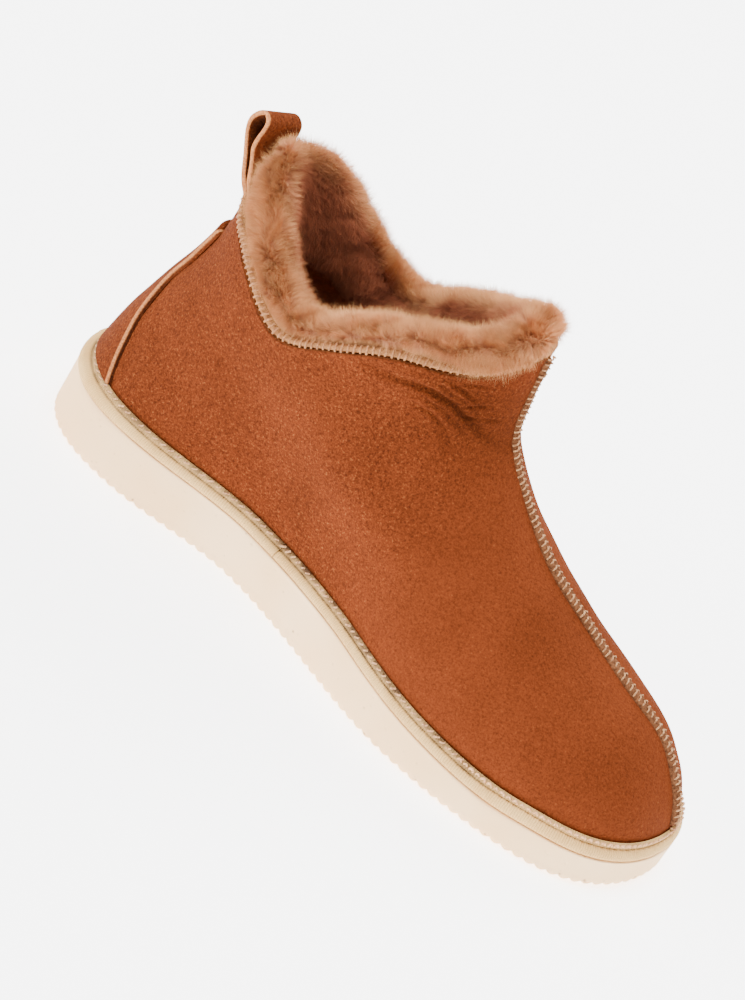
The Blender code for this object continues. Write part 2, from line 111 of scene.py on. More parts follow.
RING_INNER = tuple(Widths(*row) for row in (
    (29.7, 30.0, 25.6, 45.1, 42.7, 50.7),
    (28.0, 30.4, 27.0, 46.0, 43.0, 49.0),
    (25.0, 29.6, 28.0, 43.5, 38.0, 35.0),
    (22.0, 28.8, 29.4, 40.0, 31.5, 23.0),
    (19.0, 27.8, 31.2, 37.0, 28.0, 17.0),
    (16.0, 26.6, 33.2, 34.5, 25.8, 15.0),
    (14.0, 25.6, 34.8, 33.8, 25.0, 15.0),
    (12.0, 24.8, 35.8, 34.2, 24.8, 15.5),
    (11.0, 24.2, 36.5, 35.0, 25.2, 16.0)))
RING_OUTER = tuple(Widths(*row) for row in (
    (29.7, 30.1, 33.1, 42.9, 34.4, 25.7),
    (28.0, 30.4, 33.5, 42.4, 33.2, 23.0),
    (25.0, 29.6, 33.0, 38.9, 27.2, 16.0),
    (22.0, 28.8, 32.8, 34.8, 22.4, 11.5),
    (19.0, 27.8, 33.2, 32.8, 21.6, 10.5),
    (16.0, 26.6, 34.2, 32.8, 22.6, 11.0),
    (14.0, 25.6, 35.4, 33.6, 23.6, 12.5),
    (12.0, 24.8, 36.4, 34.8, 24.6, 14.5),
    (11.0, 24.2, 37.2, 35.8, 25.4, 16.0)))
COLLAR_INNER = tuple(Knot(*row) for row in (
    (0.00, 113.0), (0.03, 105.2), (0.12, 102.0), (0.21, 98.2), (0.29, 94.0), (0.355, 91.9), (0.42, 94.0),
    (0.51, 100.6), (0.70, 113.4), (0.84, 118.0), (0.92, 121.6), (0.975, 127.4), (1.00, 132.0)))
COLLAR_OUTER = tuple(Knot(*row) for row in (
    (0.00, 113.0), (0.03, 106.6), (0.12, 104.4), (0.25, 101.0), (0.38, 96.0), (0.465, 93.4), (0.55, 96.4),
    (0.70, 108.5), (0.85, 118.0), (1.00, 132.0)))
OPENING_HALF_WIDTH = 36.0
EDGE_SWAY = tuple(Knot(*row) for row in (
    (0.0, -0.6), (30.0, -0.6), (62.0, 0.0), (98.0, -0.2), (120.0, 0.9), (142.0, 1.9), (160.0, 1.2),
    (184.0, 0.0), (216.0, -1.3), (238.0, -0.1), (270.0, -0.6)))
OUTER_SWAY_SHARE = 0.45
HALVINGS = 24


def cubic_through(knots: Sequence[float], values: Sequence, at: Numbers) -> Array:
    """Smooth curve through the knots, held level past both ends.

    Args:
        knots: Places of the values, in rising order.
        values: One value for each knot, or one array of at's shape for each knot.
        at: Places to read.

    Returns:
        The curve's values, in the shape of at.
    """
    places = np.asarray(knots, float)
    at = np.clip(np.asarray(at, float), places[0], places[-1])
    table = np.asarray(values, float)
    if table.ndim == 1:
        table = table.reshape(-1, *([1] * at.ndim))
    table = np.broadcast_to(table, (len(places), *at.shape))
    index = np.clip(np.searchsorted(places, at, side="right") - 1, 0, len(places) - 2)
    low = np.maximum(index - 1, 0)
    high = np.minimum(index + 2, len(places) - 1)
    before, here, after, beyond = (
        np.take_along_axis(table, row[None], axis=0)[0] for row in (low, index, index + 1, high))
    span = places[index + 1] - places[index]
    slope_in = (after - before) / (places[index + 1] - places[low])
    slope_out = (beyond - here) / (places[high] - places[index])
    t = (at - places[index]) / span
    rise = t * t * (3.0 - 2.0 * t)
    leave = t * (1.0 - t) ** 2 * slope_in * span
    arrive = t * t * (1.0 - t) * slope_out * span
    return here * (1.0 - rise) + after * rise + leave - arrive


def column(table: Sequence[tuple], at: Numbers, number: int = 1) -> Array:
    """Smooth curve through a column of a table, whose first column is the place."""
    return cubic_through([row[0] for row in table], [row[number] for row in table], at)


def smooth_step(low: Numbers, high: Numbers, at: Numbers) -> Array:
    """Rise from 0 to 1 between two places."""
    t = np.clip((at - low) / (high - low), 0.0, 1.0)
    return t * t * (3.0 - 2.0 * t)


class Span(NamedTuple):
    """Two places between which a share changes, or two numbers that bound a third."""

    low: float
    high: float

    def rise(self, at: Numbers) -> Array:
        """Share that rises from 0 to 1."""
        return smooth_step(self.low, self.high, at)

    def drop(self, at: Numbers) -> Array:
        """Share that falls from 1 to 0."""
        return 1.0 - smooth_step(self.low, self.high, at)


class Band(NamedTuple):
    """Places between which a share rises to 1, and then falls to 0 again."""

    rise_from: float
    rise_to: float
    fall_from: float
    fall_to: float

    def at(self, places: Numbers) -> Array:
        """The share at places."""
        rise = smooth_step(self.rise_from, self.rise_to, places)
        return rise * (1.0 - smooth_step(self.fall_from, self.fall_to, places))


def bisect(low: Array, high: Array, short: Callable[[Array], Array]) -> Array:
    """Places where a rising measure reaches its goal.

    Args:
        low: Lower ends of the search.
        high: Upper ends of the search.
        short: Tells which places still fall short of the goal.

    Returns:
        Places, in the shape of low.
    """
    for _ in range(HALVINGS):
        middle = (low + high) / 2.0
        under = short(middle)
        low, high = np.where(under, middle, low), np.where(under, high, middle)
    return (low + high) / 2.0


def unit(vectors: Array) -> Array:
    """Vectors of length one."""
    return vectors / np.maximum(np.linalg.norm(vectors, axis=-1, keepdims=True), 1e-9)


def waves(points: Array, size: float, seed: int, count: int = 14) -> Array:
    """Smooth uneven height made of plane waves, about 1 high and the same each run.

    Args:
        points: Places to read.
        size: Rough width of a lump, in the points' own unit.
        seed: Fixes the waves.
        count: Number of waves.

    Returns:
        Heights, without the points' last axis.
    """
    random = np.random.default_rng(seed)
    total = np.zeros(points.shape[:-1])
    for _ in range(count):
        direction = unit(random.normal(size=3))
        wave = np.pi / size * random.uniform(0.6, 1.4)
        total += np.sin(points @ direction * wave + random.uniform(0.0, 2.0 * np.pi))
    return total / math.sqrt(count / 2.0)


def arc_lengths(points: Array) -> Array:
    """Distance along a line of points from its first one."""
    return np.concatenate([[0.0], np.cumsum(np.linalg.norm(np.diff(points, axis=0), axis=1))])


def outline_y(widths: Sequence[Numbers], share: Array, length: Numbers) -> Array:
    """Half width of a closed outline that has round ends.

    Args:
        widths: The columns of Widths, each a number or an array of share's shape.
        share: Shares of the outline's length.
        length: The outline's length.

    Returns:
        Half widths, in the shape of share.
    """
    bulge = 2.0 * np.sqrt(np.clip(share * (1.0 - share), 0.0, None))
    heel_end, toe_end = (np.sqrt(widths[end] * length / 2.0) for end in (0, 5))
    fullness = [w / (2.0 * math.sqrt(s * (1.0 - s))) for w, s in zip(widths[1:5], WIDTH_SHARES)]
    rows = [np.broadcast_to(row, share.shape) for row in (heel_end, *fullness, toe_end)]
    return bulge * cubic_through((0.0, *WIDTH_SHARES, 1.0), rows, share)


def share_of(turn: Numbers) -> Array:
    """Share of the way from the heel to the toe that a turn has come."""
    return (1.0 - np.cos(2.0 * np.pi * np.asarray(turn, float))) / 2.0


def from_heel(turn: Numbers) -> Array:
    """Turn from the heel, the shorter way round."""
    return np.minimum(turn % 1.0, 1.0 - turn % 1.0)


def on_inner_side(turn: Numbers) -> Array:
    """True on the half of the outline that faces the other foot."""
    return np.asarray(turn, float) % 1.0 <= 0.5


def edge_sway(x: Numbers, inner: Array) -> Array:
    """Height that the hand-lasted tape line wanders from the top of the sole."""
    return column(EDGE_SWAY, x) * np.where(inner, 1.0, OUTER_SWAY_SHARE)


def sole_bottom(x: Numbers) -> Array:
    """Height of the tread above the floor: flat, then a slight toe spring."""
    rise = np.clip(np.asarray(x, float) - TOE_SPRING_FROM, 0.0, None)
    return TOE_SPRING * (rise / (SOLE_LENGTH - TOE_SPRING_FROM)) ** 2


def sole_outline(turn: Array, inset: float) -> tuple[Array, Array]:
    """Outline of the sole seen from above.

    Args:
        turn: Places round the outline.
        inset: Distance that the outline is moved inwards.

    Returns:
        The lengths and the sideways places of the points.
    """
    inner = on_inner_side(turn)
    widths = [np.where(inner, a - inset, b - inset) for a, b in zip(SOLE_INNER, SOLE_OUTER)]
    length = SOLE_LENGTH - 2.0 * inset
    share = share_of(turn)
    return inset + length * share, np.where(inner, -1.0, 1.0) * outline_y(widths, share, length)


SOLE_SIDES = sole_outline(np.arange(248) / 248.0, 0.0)[1]
ORIGIN = np.array([SOLE_LENGTH / 2.0, (SOLE_SIDES.min() + SOLE_SIDES.max()) / 2.0, 0.0])


def to_metres(points: Array) -> Array:
    """From lengths along the sole to metres about the part's origin."""
    return (points - ORIGIN) * MM


class Last:
    """The foot shape that every piece of the upper is cut round."""

    turn_step = 0.004
    level_step = 0.1
    table_size = 1440

    def __init__(self) -> None:
        """Work out the collar line once, as a table round the ankle."""
        self.table_turns = np.arange(self.table_size + 1) / self.table_size
        inner, outer = (column(table, share_of(self.table_turns)) for table in (COLLAR_INNER, COLLAR_OUTER))
        goal = np.where(on_inner_side(self.table_turns), inner, outer)
        self.table_levels = self.level_at_height(self.table_turns, goal)

    def surface(self, turn: Numbers, level: Numbers) -> Array:
        """Points on the outside of the upper, level 0 at the sole and 8 at the ankle.

        Args:
            turn: Places round the foot, from 0 at the heel to 0.5 at the toe.
            level: Places up the table of rings.

        Returns:
            Points, with one more axis than the places.
        """
        turn, level = np.broadcast_arrays(np.asarray(turn, float) % 1.0, np.asarray(level, float))
        knots = range(len(RINGS))
        ring = Ring(*(cubic_through(knots, row, level) for row in zip(*RINGS)))
        inner = on_inner_side(turn)
        widths = [np.where(inner, cubic_through(knots, near, level), cubic_through(knots, far, level))
                  for near, far in zip(zip(*RING_INNER), zip(*RING_OUTER))]
        length = ring.front_x - ring.back_x
        share = share_of(turn)
        x = ring.back_x + length * share
        y = np.where(inner, -1.0, 1.0) * outline_y(widths, share, length)
        lift = cubic_through((0.0, 0.5, 1.0), (ring.lift_back, ring.lift_side, ring.lift_front), share)
        return np.stack([x, y, column(SOLE_TOP, x) + lift], axis=-1)

    def normal(self, turn: Numbers, level: Numbers) -> Array:
        """Outward directions of the upper at places as surface takes them."""
        above = np.minimum(np.asarray(level) + self.level_step, len(RINGS) - 1)
        below = np.maximum(np.asarray(level) - self.level_step, 0.0)
        turn = np.asarray(turn, float)
        around = self.surface(turn + self.turn_step, level) - self.surface(turn - self.turn_step, level)
        return unit(np.cross(around, self.surface(turn, above) - self.surface(turn, below)))

    def level_at_height(self, turn: Array, z: Numbers) -> Array:
        """Levels at which the upper reaches heights above the floor."""
        low = np.zeros_like(np.asarray(turn, float))
        return bisect(low, low + len(RINGS) - 1.0, lambda level: self.surface(turn, level)[..., 2] < z)

    def collar_level(self, turn: Numbers) -> Array:
        """Levels at which the upper is cut off along the collar line."""
        return np.interp(np.asarray(turn, float) % 1.0, self.table_turns, self.table_levels)

    def wall(self, turn: Numbers, climb: Numbers, out: Numbers) -> Array:
        """Points on the upper, climb 0 at the sole and 1 at the collar, out from its surface."""
        turn, climb, out = np.broadcast_arrays(turn, climb, out)
        level = climb * self.collar_level(turn)
        return self.surface(turn, level) + self.normal(turn, level) * out[..., None]

    def wall_normal(self, turn: Numbers, climb: Numbers) -> Array:
        """Outward directions at places as wall takes them."""
        turn, climb = np.broadcast_arrays(turn, climb)
        return self.normal(turn, climb * self.collar_level(turn))

    def foot(self, turn: Numbers, up: Numbers, out: Numbers) -> Array:
        """Points beside the foot of the upper, up from the top of the sole."""
        turn, up, out = np.broadcast_arrays(turn, up, out)
        level = np.clip(up - FOOT_GAP, 0.0, None) / (RINGS[1].lift_side - FOOT_GAP)
        base = self.surface(turn, level)
        point = base + self.level_outward(turn, level) * out[..., None]
        point[..., 2] = column(SOLE_TOP, base[..., 0]) + edge_sway(base[..., 0], on_inner_side(turn)) + up
        return point

    def level_outward(self, turn: Numbers, level: Numbers) -> Array:
        """Outward directions of the upper, kept level."""
        return unit(self.normal(turn, level) * np.array([1.0, 1.0, 0.0]))

    def collar(self, turn: Numbers, inward: Numbers, up: Numbers) -> Array:
        """Points about the collar line, moved towards the middle of the opening."""
        turn, inward, up = np.broadcast_arrays(np.asarray(turn, float), inward, up)
        edge = self.wall(turn, 1.0, 0.0)
        x = edge[..., 0] + inward * (1.0 - 2.0 * share_of(turn))
        y = edge[..., 1] * (1.0 - inward / OPENING_HALF_WIDTH)
        return np.stack([x, y, edge[..., 2] + up], axis=-1)

    def turn_beside(self, middle: float, climb: Numbers, width: Numbers) -> Array:
        """Turns at which the upper is a given arc length away from a middle line."""
        step = self.wall(middle + self.turn_step, climb, 0.0) - self.wall(middle, climb, 0.0)
        return middle + self.turn_step * width / np.linalg.norm(step, axis=-1)

    def turn_at_side(self, climb: Numbers, across: Numbers) -> Array:
        """Turns near the heel at which the upper lies a given distance to the side."""
        climb, across = np.broadcast_arrays(np.asarray(climb, float), np.asarray(across, float))
        sign = np.where(across <= 0.0, 1.0, -1.0)
        low = np.zeros_like(climb)
        return sign * bisect(low, low + 0.22, lambda turn: np.abs(
            self.wall(sign * turn % 1.0, climb, 0.0)[..., 1]) < np.abs(across)) % 1.0


# ---------------------------------------------------------------- meshes and node trees

def link(name: str, data: bpy.types.ID) -> Object:
    """New object at the origin of the scene."""
    piece = bpy.data.objects.new(name, data)
    bpy.context.scene.collection.objects.link(piece)
    return piece


def carry(mesh: bpy.types.Mesh, name: str, values: Array) -> None:
    """Let a mesh carry a number or a direction at each of its points."""
    kind, target = ("FLOAT_VECTOR", "vector") if values.shape[-1] == 3 else ("FLOAT", "value")
    mesh.attributes.new(name, kind, "POINT").data.foreach_set(target, values.astype(np.float32).ravel())


def mount(piece: Object, slot: str, *nodes: str) -> Object:
    """Let a piece ride on the body and stand for CAD nodes."""
    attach(piece, BODY)
    if nodes:
        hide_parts(*nodes)
    mesh = piece.data
    mesh.calc_loop_triangles()
    LOG.info("%s: %d triangles", piece.name, len(mesh.loop_triangles))
    return piece


@dataclass
class Surface:
    """Points, faces and point values of a piece before it is a mesh."""

    points: Array
    faces: Array
    values: dict[str, Array]
    weld = 0.002

    @classmethod
    def of_rows(cls, rows: Array, ring: bool = False, loop: bool = False, **values: Array) -> "Surface":
        """Surface through equal rows of points.

        Args:
            rows: Points, a row for each step.
            ring: True where each row is closed on itself.
            loop: True where the last row joins the first.
            values: Values at the points, by name.

        Returns:
            The surface, made of quads.
        """
        steps, count = rows.shape[:2]
        row = np.arange(steps if loop else steps - 1)[:, None]
        here = np.arange(count if ring else count - 1)[None, :]
        after = (here + 1) % count
        above = (row + 1) % steps * count
        corners = (row * count + here, row * count + after, above + after, above + here)
        faces = np.stack(np.broadcast_arrays(*corners), axis=-1).reshape(-1, 4)
        flat = {name: value.reshape(steps * count, -1) for name, value in values.items()}
        return cls(rows.reshape(-1, 3), faces, flat)

    def joined(self, other: "Surface") -> "Surface":
        """Both surfaces as one."""
        faces = np.concatenate([self.faces, other.faces + len(self.points)])
        values = {name: np.concatenate([value, other.values[name]]) for name, value in self.values.items()}
        return Surface(np.concatenate([self.points, other.points]), faces, values)

    def object(self, name: str, material: Optional[Material] = None, closed: bool = True,
               welded: bool = False) -> Object:
        """Mesh object at the origin, with its place in its mesh.

        Args:
            name: Name of the piece.
            material: Finish of the piece.
            closed: True for a closed shell, whose faces are turned outwards.
            welded: True where rows meet in poles or along an edge.

        Returns:
            The new object.
        """
        mesh = bpy.data.meshes.new(name)
        mesh.from_pydata(to_metres(self.points), [], self.faces.tolist())
        for key, value in self.values.items():
            carry(mesh, key, value)
        if closed:
            work = bmesh.new()
            work.from_mesh(mesh)
            if welded:
                bmesh.ops.remove_doubles(work, verts=work.verts, dist=self.weld * MM)
            bmesh.ops.recalc_face_normals(work, faces=work.faces)
            work.to_mesh(mesh)
            work.free()
        mesh.shade_smooth()
        if material:
            mesh.materials.append(material)
        return link(name, mesh)


def linear(hex_colour: str) -> tuple[float, float, float, float]:
    """Linear red, green, blue and alpha of an sRGB hex colour."""
    channels = [int(hex_colour[i:i + 2], 16) / 255.0 for i in (1, 3, 5)]
    bent = [c / 12.92 if c <= 0.04045 else ((c + 0.055) / 1.055) ** 2.4 for c in channels]
    return (*bent, 1.0)


def feed(node: bpy.types.Node, inputs: dict) -> None:
    """Fill a node's inputs, each by its name or number with a value, a hex colour or a link."""
    for key, value in inputs.items():
        if isinstance(value, Socket):
            node.id_data.links.new(value, node.inputs[key])
        else:
            node.inputs[key].default_value = linear(value) if str(value).startswith("#") else value


def add_node(tree: bpy.types.NodeTree, kind: str, inputs: Optional[dict] = None,
             **settings: object) -> Outputs:
    """Add a node to a tree.

    Args:
        tree: Tree that takes the node.
        kind: Blender's name for the node.
        inputs: Its inputs, as feed takes them.
        settings: The node's own settings.

    Returns:
        The new node's outputs.
    """
    node = tree.nodes.new(kind)
    for key, value in settings.items():
        setattr(node, key, value)
    feed(node, inputs or {})
    return node.outputs


class TreeInput(NamedTuple):
    """A named input of a geometry tree and the value that it gets."""

    name: str
    kind: str
    value: object


class Recipe:
    """A geometry node tree with named inputs, run once on a guide to make a plain mesh."""

    def __init__(self, name: str, seed: int, stray: float, inputs: Sequence[TreeInput]) -> None:
        """Start the tree.

        Args:
            name: Name of the piece that it makes.
            seed: Fixes all that is random.
            stray: How far directions stray, as a share of their length.
            inputs: Further inputs.
        """
        self.name = name
        self.tree = bpy.data.node_groups.new(name + "_tree", "GeometryNodeTree")
        face = self.tree.interface
        for way in ("INPUT", "OUTPUT"):
            face.new_socket(name="Geometry", in_out=way, socket_type="NodeSocketGeometry")
        self.values = {}
        for row in (*inputs, TreeInput("Stray", "Float", stray), TreeInput("Seed", "Int", seed)):
            socket = face.new_socket(name=row.name, in_out="INPUT", socket_type="NodeSocket" + row.kind)
            self.values[socket.identifier] = row.value
        self.given = add_node(self.tree, "NodeGroupInput")

    def add(self, kind: str, inputs: Optional[dict] = None, **settings: object) -> Outputs:
        """Add a node to this tree."""
        return add_node(self.tree, kind, inputs, **settings)

    def strayed(self) -> Socket:
        """A random direction for each point, as long as Stray."""
        stray = self.add("FunctionNodeRandomValue", {"Min": (-1.0,) * 3, "Max": (1.0,) * 3,
                                                     "Seed": self.given["Seed"]}, data_type="FLOAT_VECTOR")
        return self.add("ShaderNodeVectorMath", {0: stray[0], "Scale": self.given["Stray"]},
                        operation="SCALE")[0]

    def sum(self, *directions: Socket) -> Socket:
        """Directions added up from left to right."""
        total = directions[0]
        for direction in directions[1:]:
            total = self.add("ShaderNodeVectorMath", {0: total, 1: direction}, operation="ADD")[0]
        return total

    def lay(self, points: Socket, shape: Socket, up: Socket, ahead: Socket, size: Socket,
            material: Material) -> None:
        """Lay a shape on every point, and end the tree in Realize Instances and Set Material.

        Args:
            points: Points or a spaced curve.
            shape: Geometry that is laid.
            up: Direction of its Z at each point.
            ahead: Direction that its X keeps to.
            size: Its size at each point.
            material: Finish of the result.
        """
        turned = self.add("FunctionNodeAxesToRotation", {0: up, 1: ahead}, primary_axis="Z",
                          secondary_axis="X")[0]
        laid = self.add("GeometryNodeInstanceOnPoints", {
            "Points": points, "Instance": shape, "Rotation": turned, "Scale": size})[0]
        solid = self.add("GeometryNodeRealizeInstances", {"Geometry": laid})[0]
        smooth = self.add("GeometryNodeSetShadeSmooth", {"Geometry": solid})[0]
        dressed = self.add("GeometryNodeSetMaterial", {"Geometry": smooth, "Material": material})[0]
        self.add("NodeGroupOutput", {"Geometry": dressed})

    def run(self, guide: Object) -> Object:
        """Grow the tree on a guide, which is removed, and keep the result as a plain mesh."""
        modifier = guide.modifiers.new(self.name, "NODES")
        modifier.node_group = self.tree
        for identifier, value in self.values.items():
            modifier[identifier] = value
        bpy.context.view_layer.update()
        graph = bpy.context.evaluated_depsgraph_get()
        mesh = bpy.data.meshes.new_from_object(guide.evaluated_get(graph))
        mesh.name = self.name
        guide.modifiers.clear()
        bpy.data.objects.remove(guide, do_unlink=True)
        return link(self.name, mesh)


def path_guide(points: Array, outward: Array, closed: bool = False) -> Object:
    """Line of edges that a node tree lays its bars along.

    Args:
        points: Points of the line.
        outward: Direction that faces away from the surface at each point.
        closed: True where the line runs right round.

    Returns:
        The guide object.
    """
    count = len(points)
    edges = [(i, (i + 1) % count) for i in range(count if closed else count - 1)]
    mesh = bpy.data.meshes.new("guide")
    mesh.from_pydata(to_metres(points), edges, [])
    carry(mesh, "outward", outward)
    return link("guide", mesh)


Spot = tuple[float, float, float]


@dataclass(frozen=True)
class Bars:
    """A row of bent bars along a path, such as stitches or loops of thread.

    Each bar is a bow through three places, given along the path, to its side, and outwards.
    """

    pitch: float
    start: Spot
    bow: Spot
    end: Spot
    radius: float
    seed: int
    unevenness: float = 0.12
    wander: float = 0.12
    steps: int = 6
    sides: int = 6

    def lay(self, name: str, guide: Object, finish: "Finish") -> Object:
        """Lay the bars along a guide line.

        Args:
            name: Name of the new piece.
            guide: Line with an outward direction at each point.
            finish: Finish of the bars.

        Returns:
            One mesh that holds every bar.
        """
        inputs = [TreeInput(key, "Vector", [v * MM for v in spot])
                  for key, spot in (("Start", self.start), ("Bow", self.bow), ("End", self.end))]
        recipe = Recipe(name, self.seed, self.wander, (
            TreeInput("Pitch", "Float", self.pitch * MM), *inputs,
            TreeInput("Radius", "Float", self.radius * MM),
            TreeInput("Unevenness", "Float", self.unevenness)))
        given, add = recipe.given, recipe.add
        line = add("GeometryNodeMeshToCurve", {"Mesh": given["Geometry"]})[0]
        spaced = add("GeometryNodeResampleCurve", {"Curve": line, "Length": given["Pitch"]},
                     mode="LENGTH")[0]
        bow = add("GeometryNodeCurveQuadraticBezier", {
            "Resolution": self.steps, "Start": given["Start"], "Middle": given["Bow"],
            "End": given["End"]})[0]
        section = add("GeometryNodeCurvePrimitiveCircle", {
            "Resolution": self.sides, "Radius": given["Radius"]})["Curve"]
        bar = add("GeometryNodeCurveToMesh", {"Curve": bow, "Profile Curve": section, "Fill Caps": True})[0]
        outward = add("GeometryNodeInputNamedAttribute", {"Name": "outward"}, data_type="FLOAT_VECTOR")[0]
        ahead = recipe.sum(add("GeometryNodeInputTangent")[0], recipe.strayed())
        least, most = (add("ShaderNodeMath", {0: 1.0, 1: given["Unevenness"]}, operation=kind)[0]
                       for kind in ("SUBTRACT", "ADD"))
        size = add("FunctionNodeRandomValue", {2: least, 3: most, "Seed": given["Seed"]},
                   data_type="FLOAT")[1]
        recipe.lay(spaced, bar, outward, ahead, size, finish.material())
        return recipe.run(guide)


# ---------------------------------------------------------------- finishes

Colour = Union[str, Socket]


class Shading:
    """A material under construction: its tree and its place in millimetres."""

    def __init__(self, name: str) -> None:
        """Start a material with an empty surface."""
        self.material = bpy.data.materials.new(name)
        self.material.use_nodes = True
        spot = self.add("TexCoord")["Object"]
        self.place = self.add("VectorMath", {0: spot, "Scale": 1.0 / MM}, operation="SCALE")[0]

    def add(self, kind: str, inputs: Optional[dict] = None, **settings: object) -> Outputs:
        """Add a node to this material, by Blender's name without ShaderNode."""
        return add_node(self.material.node_tree, "ShaderNode" + kind, inputs, **settings)

    def tint(self, base: Colour, over: Colour, source: Socket, low: float = 0.0, high: float = 1.0,
             most: float = 1.0) -> Socket:
        """Lay a colour over another, up to a greatest share, where a value rises from low to high."""
        share = self.add("MapRange", {0: source, 1: low, 2: high, 4: most})[0]
        return self.add("Mix", {0: share, 6: base, 7: over}, data_type="RGBA")[2]

    def shade(self, colour: Socket, source: Socket, low: float, high: float, first: float,
              last: float) -> Socket:
        """Make a colour first to last times as bright as a value rises from low to high."""
        amount = self.add("MapRange", {0: source, 1: low, 2: high, 3: first, 4: last})[0]
        return self.add("VectorMath", {0: colour, "Scale": amount}, operation="SCALE")[0]

    def surface(self, colour: Socket, roughness: Union[float, Socket], height: Socket, depth: float,
                specular: float, **more: object) -> Material:
        """Finish the material.

        Args:
            colour: Colour of the surface.
            roughness: Its roughness.
            height: Its relief, from 0 to 1.
            depth: Depth of the relief in millimetres.
            specular: Specular level of its shader.
            more: Further inputs of the shader, by name with _ for a space.

        Returns:
            The finished material.
        """
        normal = self.add("Bump", {"Height": height, "Distance": depth * MM})[0]
        feed(self.material.node_tree.nodes["Principled BSDF"], {
            "Base Color": colour, "Roughness": roughness, "Normal": normal, "Specular IOR Level": specular,
            **{key.replace("_", " "): value for key, value in more.items()}})
        return self.material


class Finish:
    """A surface: what it is made of and how it was worked. It is built once."""

    name: str

    def build(self, shading: Shading) -> Material:
        """Lay out the material's nodes."""
        raise NotImplementedError

    def material(self) -> Material:
        """The finish as a material, made the first time that it is asked for."""
        return bpy.data.materials.get(self.name) or self.build(Shading(self.name))


@dataclass(frozen=True)
class BrushedSuede(Finish):
    """Flesh side of a sheepskin, dyed orange tan and brushed to a short nap.

    The nap scatters light, so it has no gloss. It mottles where the brush left it lying, and
    shows its pale felted core where the skin is cut.
    """

    name: str = "brushed_sheepskin_suede"
    deep: str = "#431C0C"
    main: str = "#74361A"
    worn: str = "#955A30"
    core: str = "#9A5E38"
    fuzz: str = "#C88654"
    glow: str = "#D07A45"
    mottle: float = 14.0
    curl: float = 0.55
    nap: float = 0.3

    def build(self, shading: Shading) -> Material:
        """Mottles, curls and flecks over the dye, painted shade where a piece carries it, and the felted
        core on cut edges.
        """
        add, place = shading.add, shading.place
        mottle, curl, nap = (
            add("TexNoise", {0: place, "Scale": 0.5 / size, "Detail": detail, "Roughness": roughness})[0]
            for size, detail, roughness in (
                (self.mottle, 3.0, 0.55), (self.curl, 2.0, 0.6), (self.nap, 1.0, 0.6)))
        length = add("SeparateXYZ", {0: place})["X"]
        gain = add("MapRange", {0: length, 1: -10.0, 2: 25.0, 3: 1.15, 4: 0.68})[0]
        grain = add("Mix", {0: 0.5, 2: curl, 3: nap})[0]
        grain = add("Mix", {0: gain, 2: 0.5, 3: grain}, clamp_factor=False)[0]
        colour = shading.tint(self.deep, self.main, grain, 0.32, 0.64)
        colour = shading.tint(colour, self.worn, grain, 0.60, 0.78, 0.75)
        colour = shading.shade(colour, mottle, 0.3, 0.7, 0.91, 1.09)
        colour = shading.shade(colour, length, -95.0, 10.0, 0.85, 1.0)
        # Painted shade: creases and patches on the upper, the gap beside the heel stay, and the loop's
        # inner face.
        colour = shading.shade(colour, add("Attribute", attribute_name="shade")["Fac"], 0.0, 1.0, 1.0, 0.25)
        felt = shading.tint(self.core, self.fuzz, nap, 0.3, 0.7)
        colour = shading.tint(colour, felt, add("Attribute", attribute_name="edge")["Fac"])
        rough = add("MapRange", {0: grain, 1: 0.3, 2: 0.7, 3: 0.88, 4: 0.98})[0]
        return shading.surface(colour, rough, grain, 0.55, 0.03, Sheen_Weight=0.07, Sheen_Roughness=0.6,
                               Sheen_Tint=self.glow)


@dataclass(frozen=True)
class RolledSeam(Finish):
    """Edges of the skin rolled together under a seam: felted fibres stained by the dye."""

    name: str = "rolled_sheepskin_seam"
    core: str = "#7A4E2E"
    fuzz: str = "#A27046"
    fibre: float = 0.5

    def build(self, shading: Shading) -> Material:
        """Felted fibres, half a millimetre across, in two browns."""
        fibres = shading.add("TexNoise", {
            0: shading.place, "Scale": 0.5 / self.fibre, "Detail": 3.0, "Roughness": 0.7})[0]
        colour = shading.tint(self.core, self.fuzz, fibres, 0.35, 0.65)
        return shading.surface(colour, 0.95, fibres, 0.3, 0.1)


@dataclass(frozen=True)
class Fleece(Finish):
    """Sheared wool pile, dyed with the skin: golden tan tips over pinker roots.

    Its colour drifts slowly over the pile. Painted shade turns it brown where it runs into the
    shoe and darkens it towards the roots, and painted light and shade lie over the roll.
    """

    name: str = "sheared_wool_pile"
    root: str = "#B0785A"
    main: str = "#C0865A"
    tip: str = "#D8A26A"
    shadow: str = "#94543A"
    drift: float = 6.0

    def build(self, shading: Shading) -> Material:
        """Roots to tips along each hair, a slow drift over the pile, painted light and shade, and painted
        shade inside.
        """
        along, tone, deep = (shading.add("Attribute", attribute_name=name)["Fac"]
                             for name in ("along", "tone", "deep"))
        colour = shading.tint(self.root, self.main, along, 0.0, 0.5)
        colour = shading.tint(colour, self.tip, along, 0.5, 1.0)
        drift = shading.add("TexNoise", {0: shading.place, "Scale": 0.5 / self.drift})[0]
        colour = shading.shade(colour, drift, 0.3, 0.7, 0.92, 1.08)
        # Painted light and shade: lighter on the roll's crest and front, darker under it.
        colour = shading.shade(colour, tone, 0.0, 2.0, 0.0, 2.0)
        # Painted shade: towards the shadow colour where the wool runs into the shoe.
        return shading.surface(shading.tint(colour, self.shadow, deep), 0.9, drift, 0.004, 0.1)


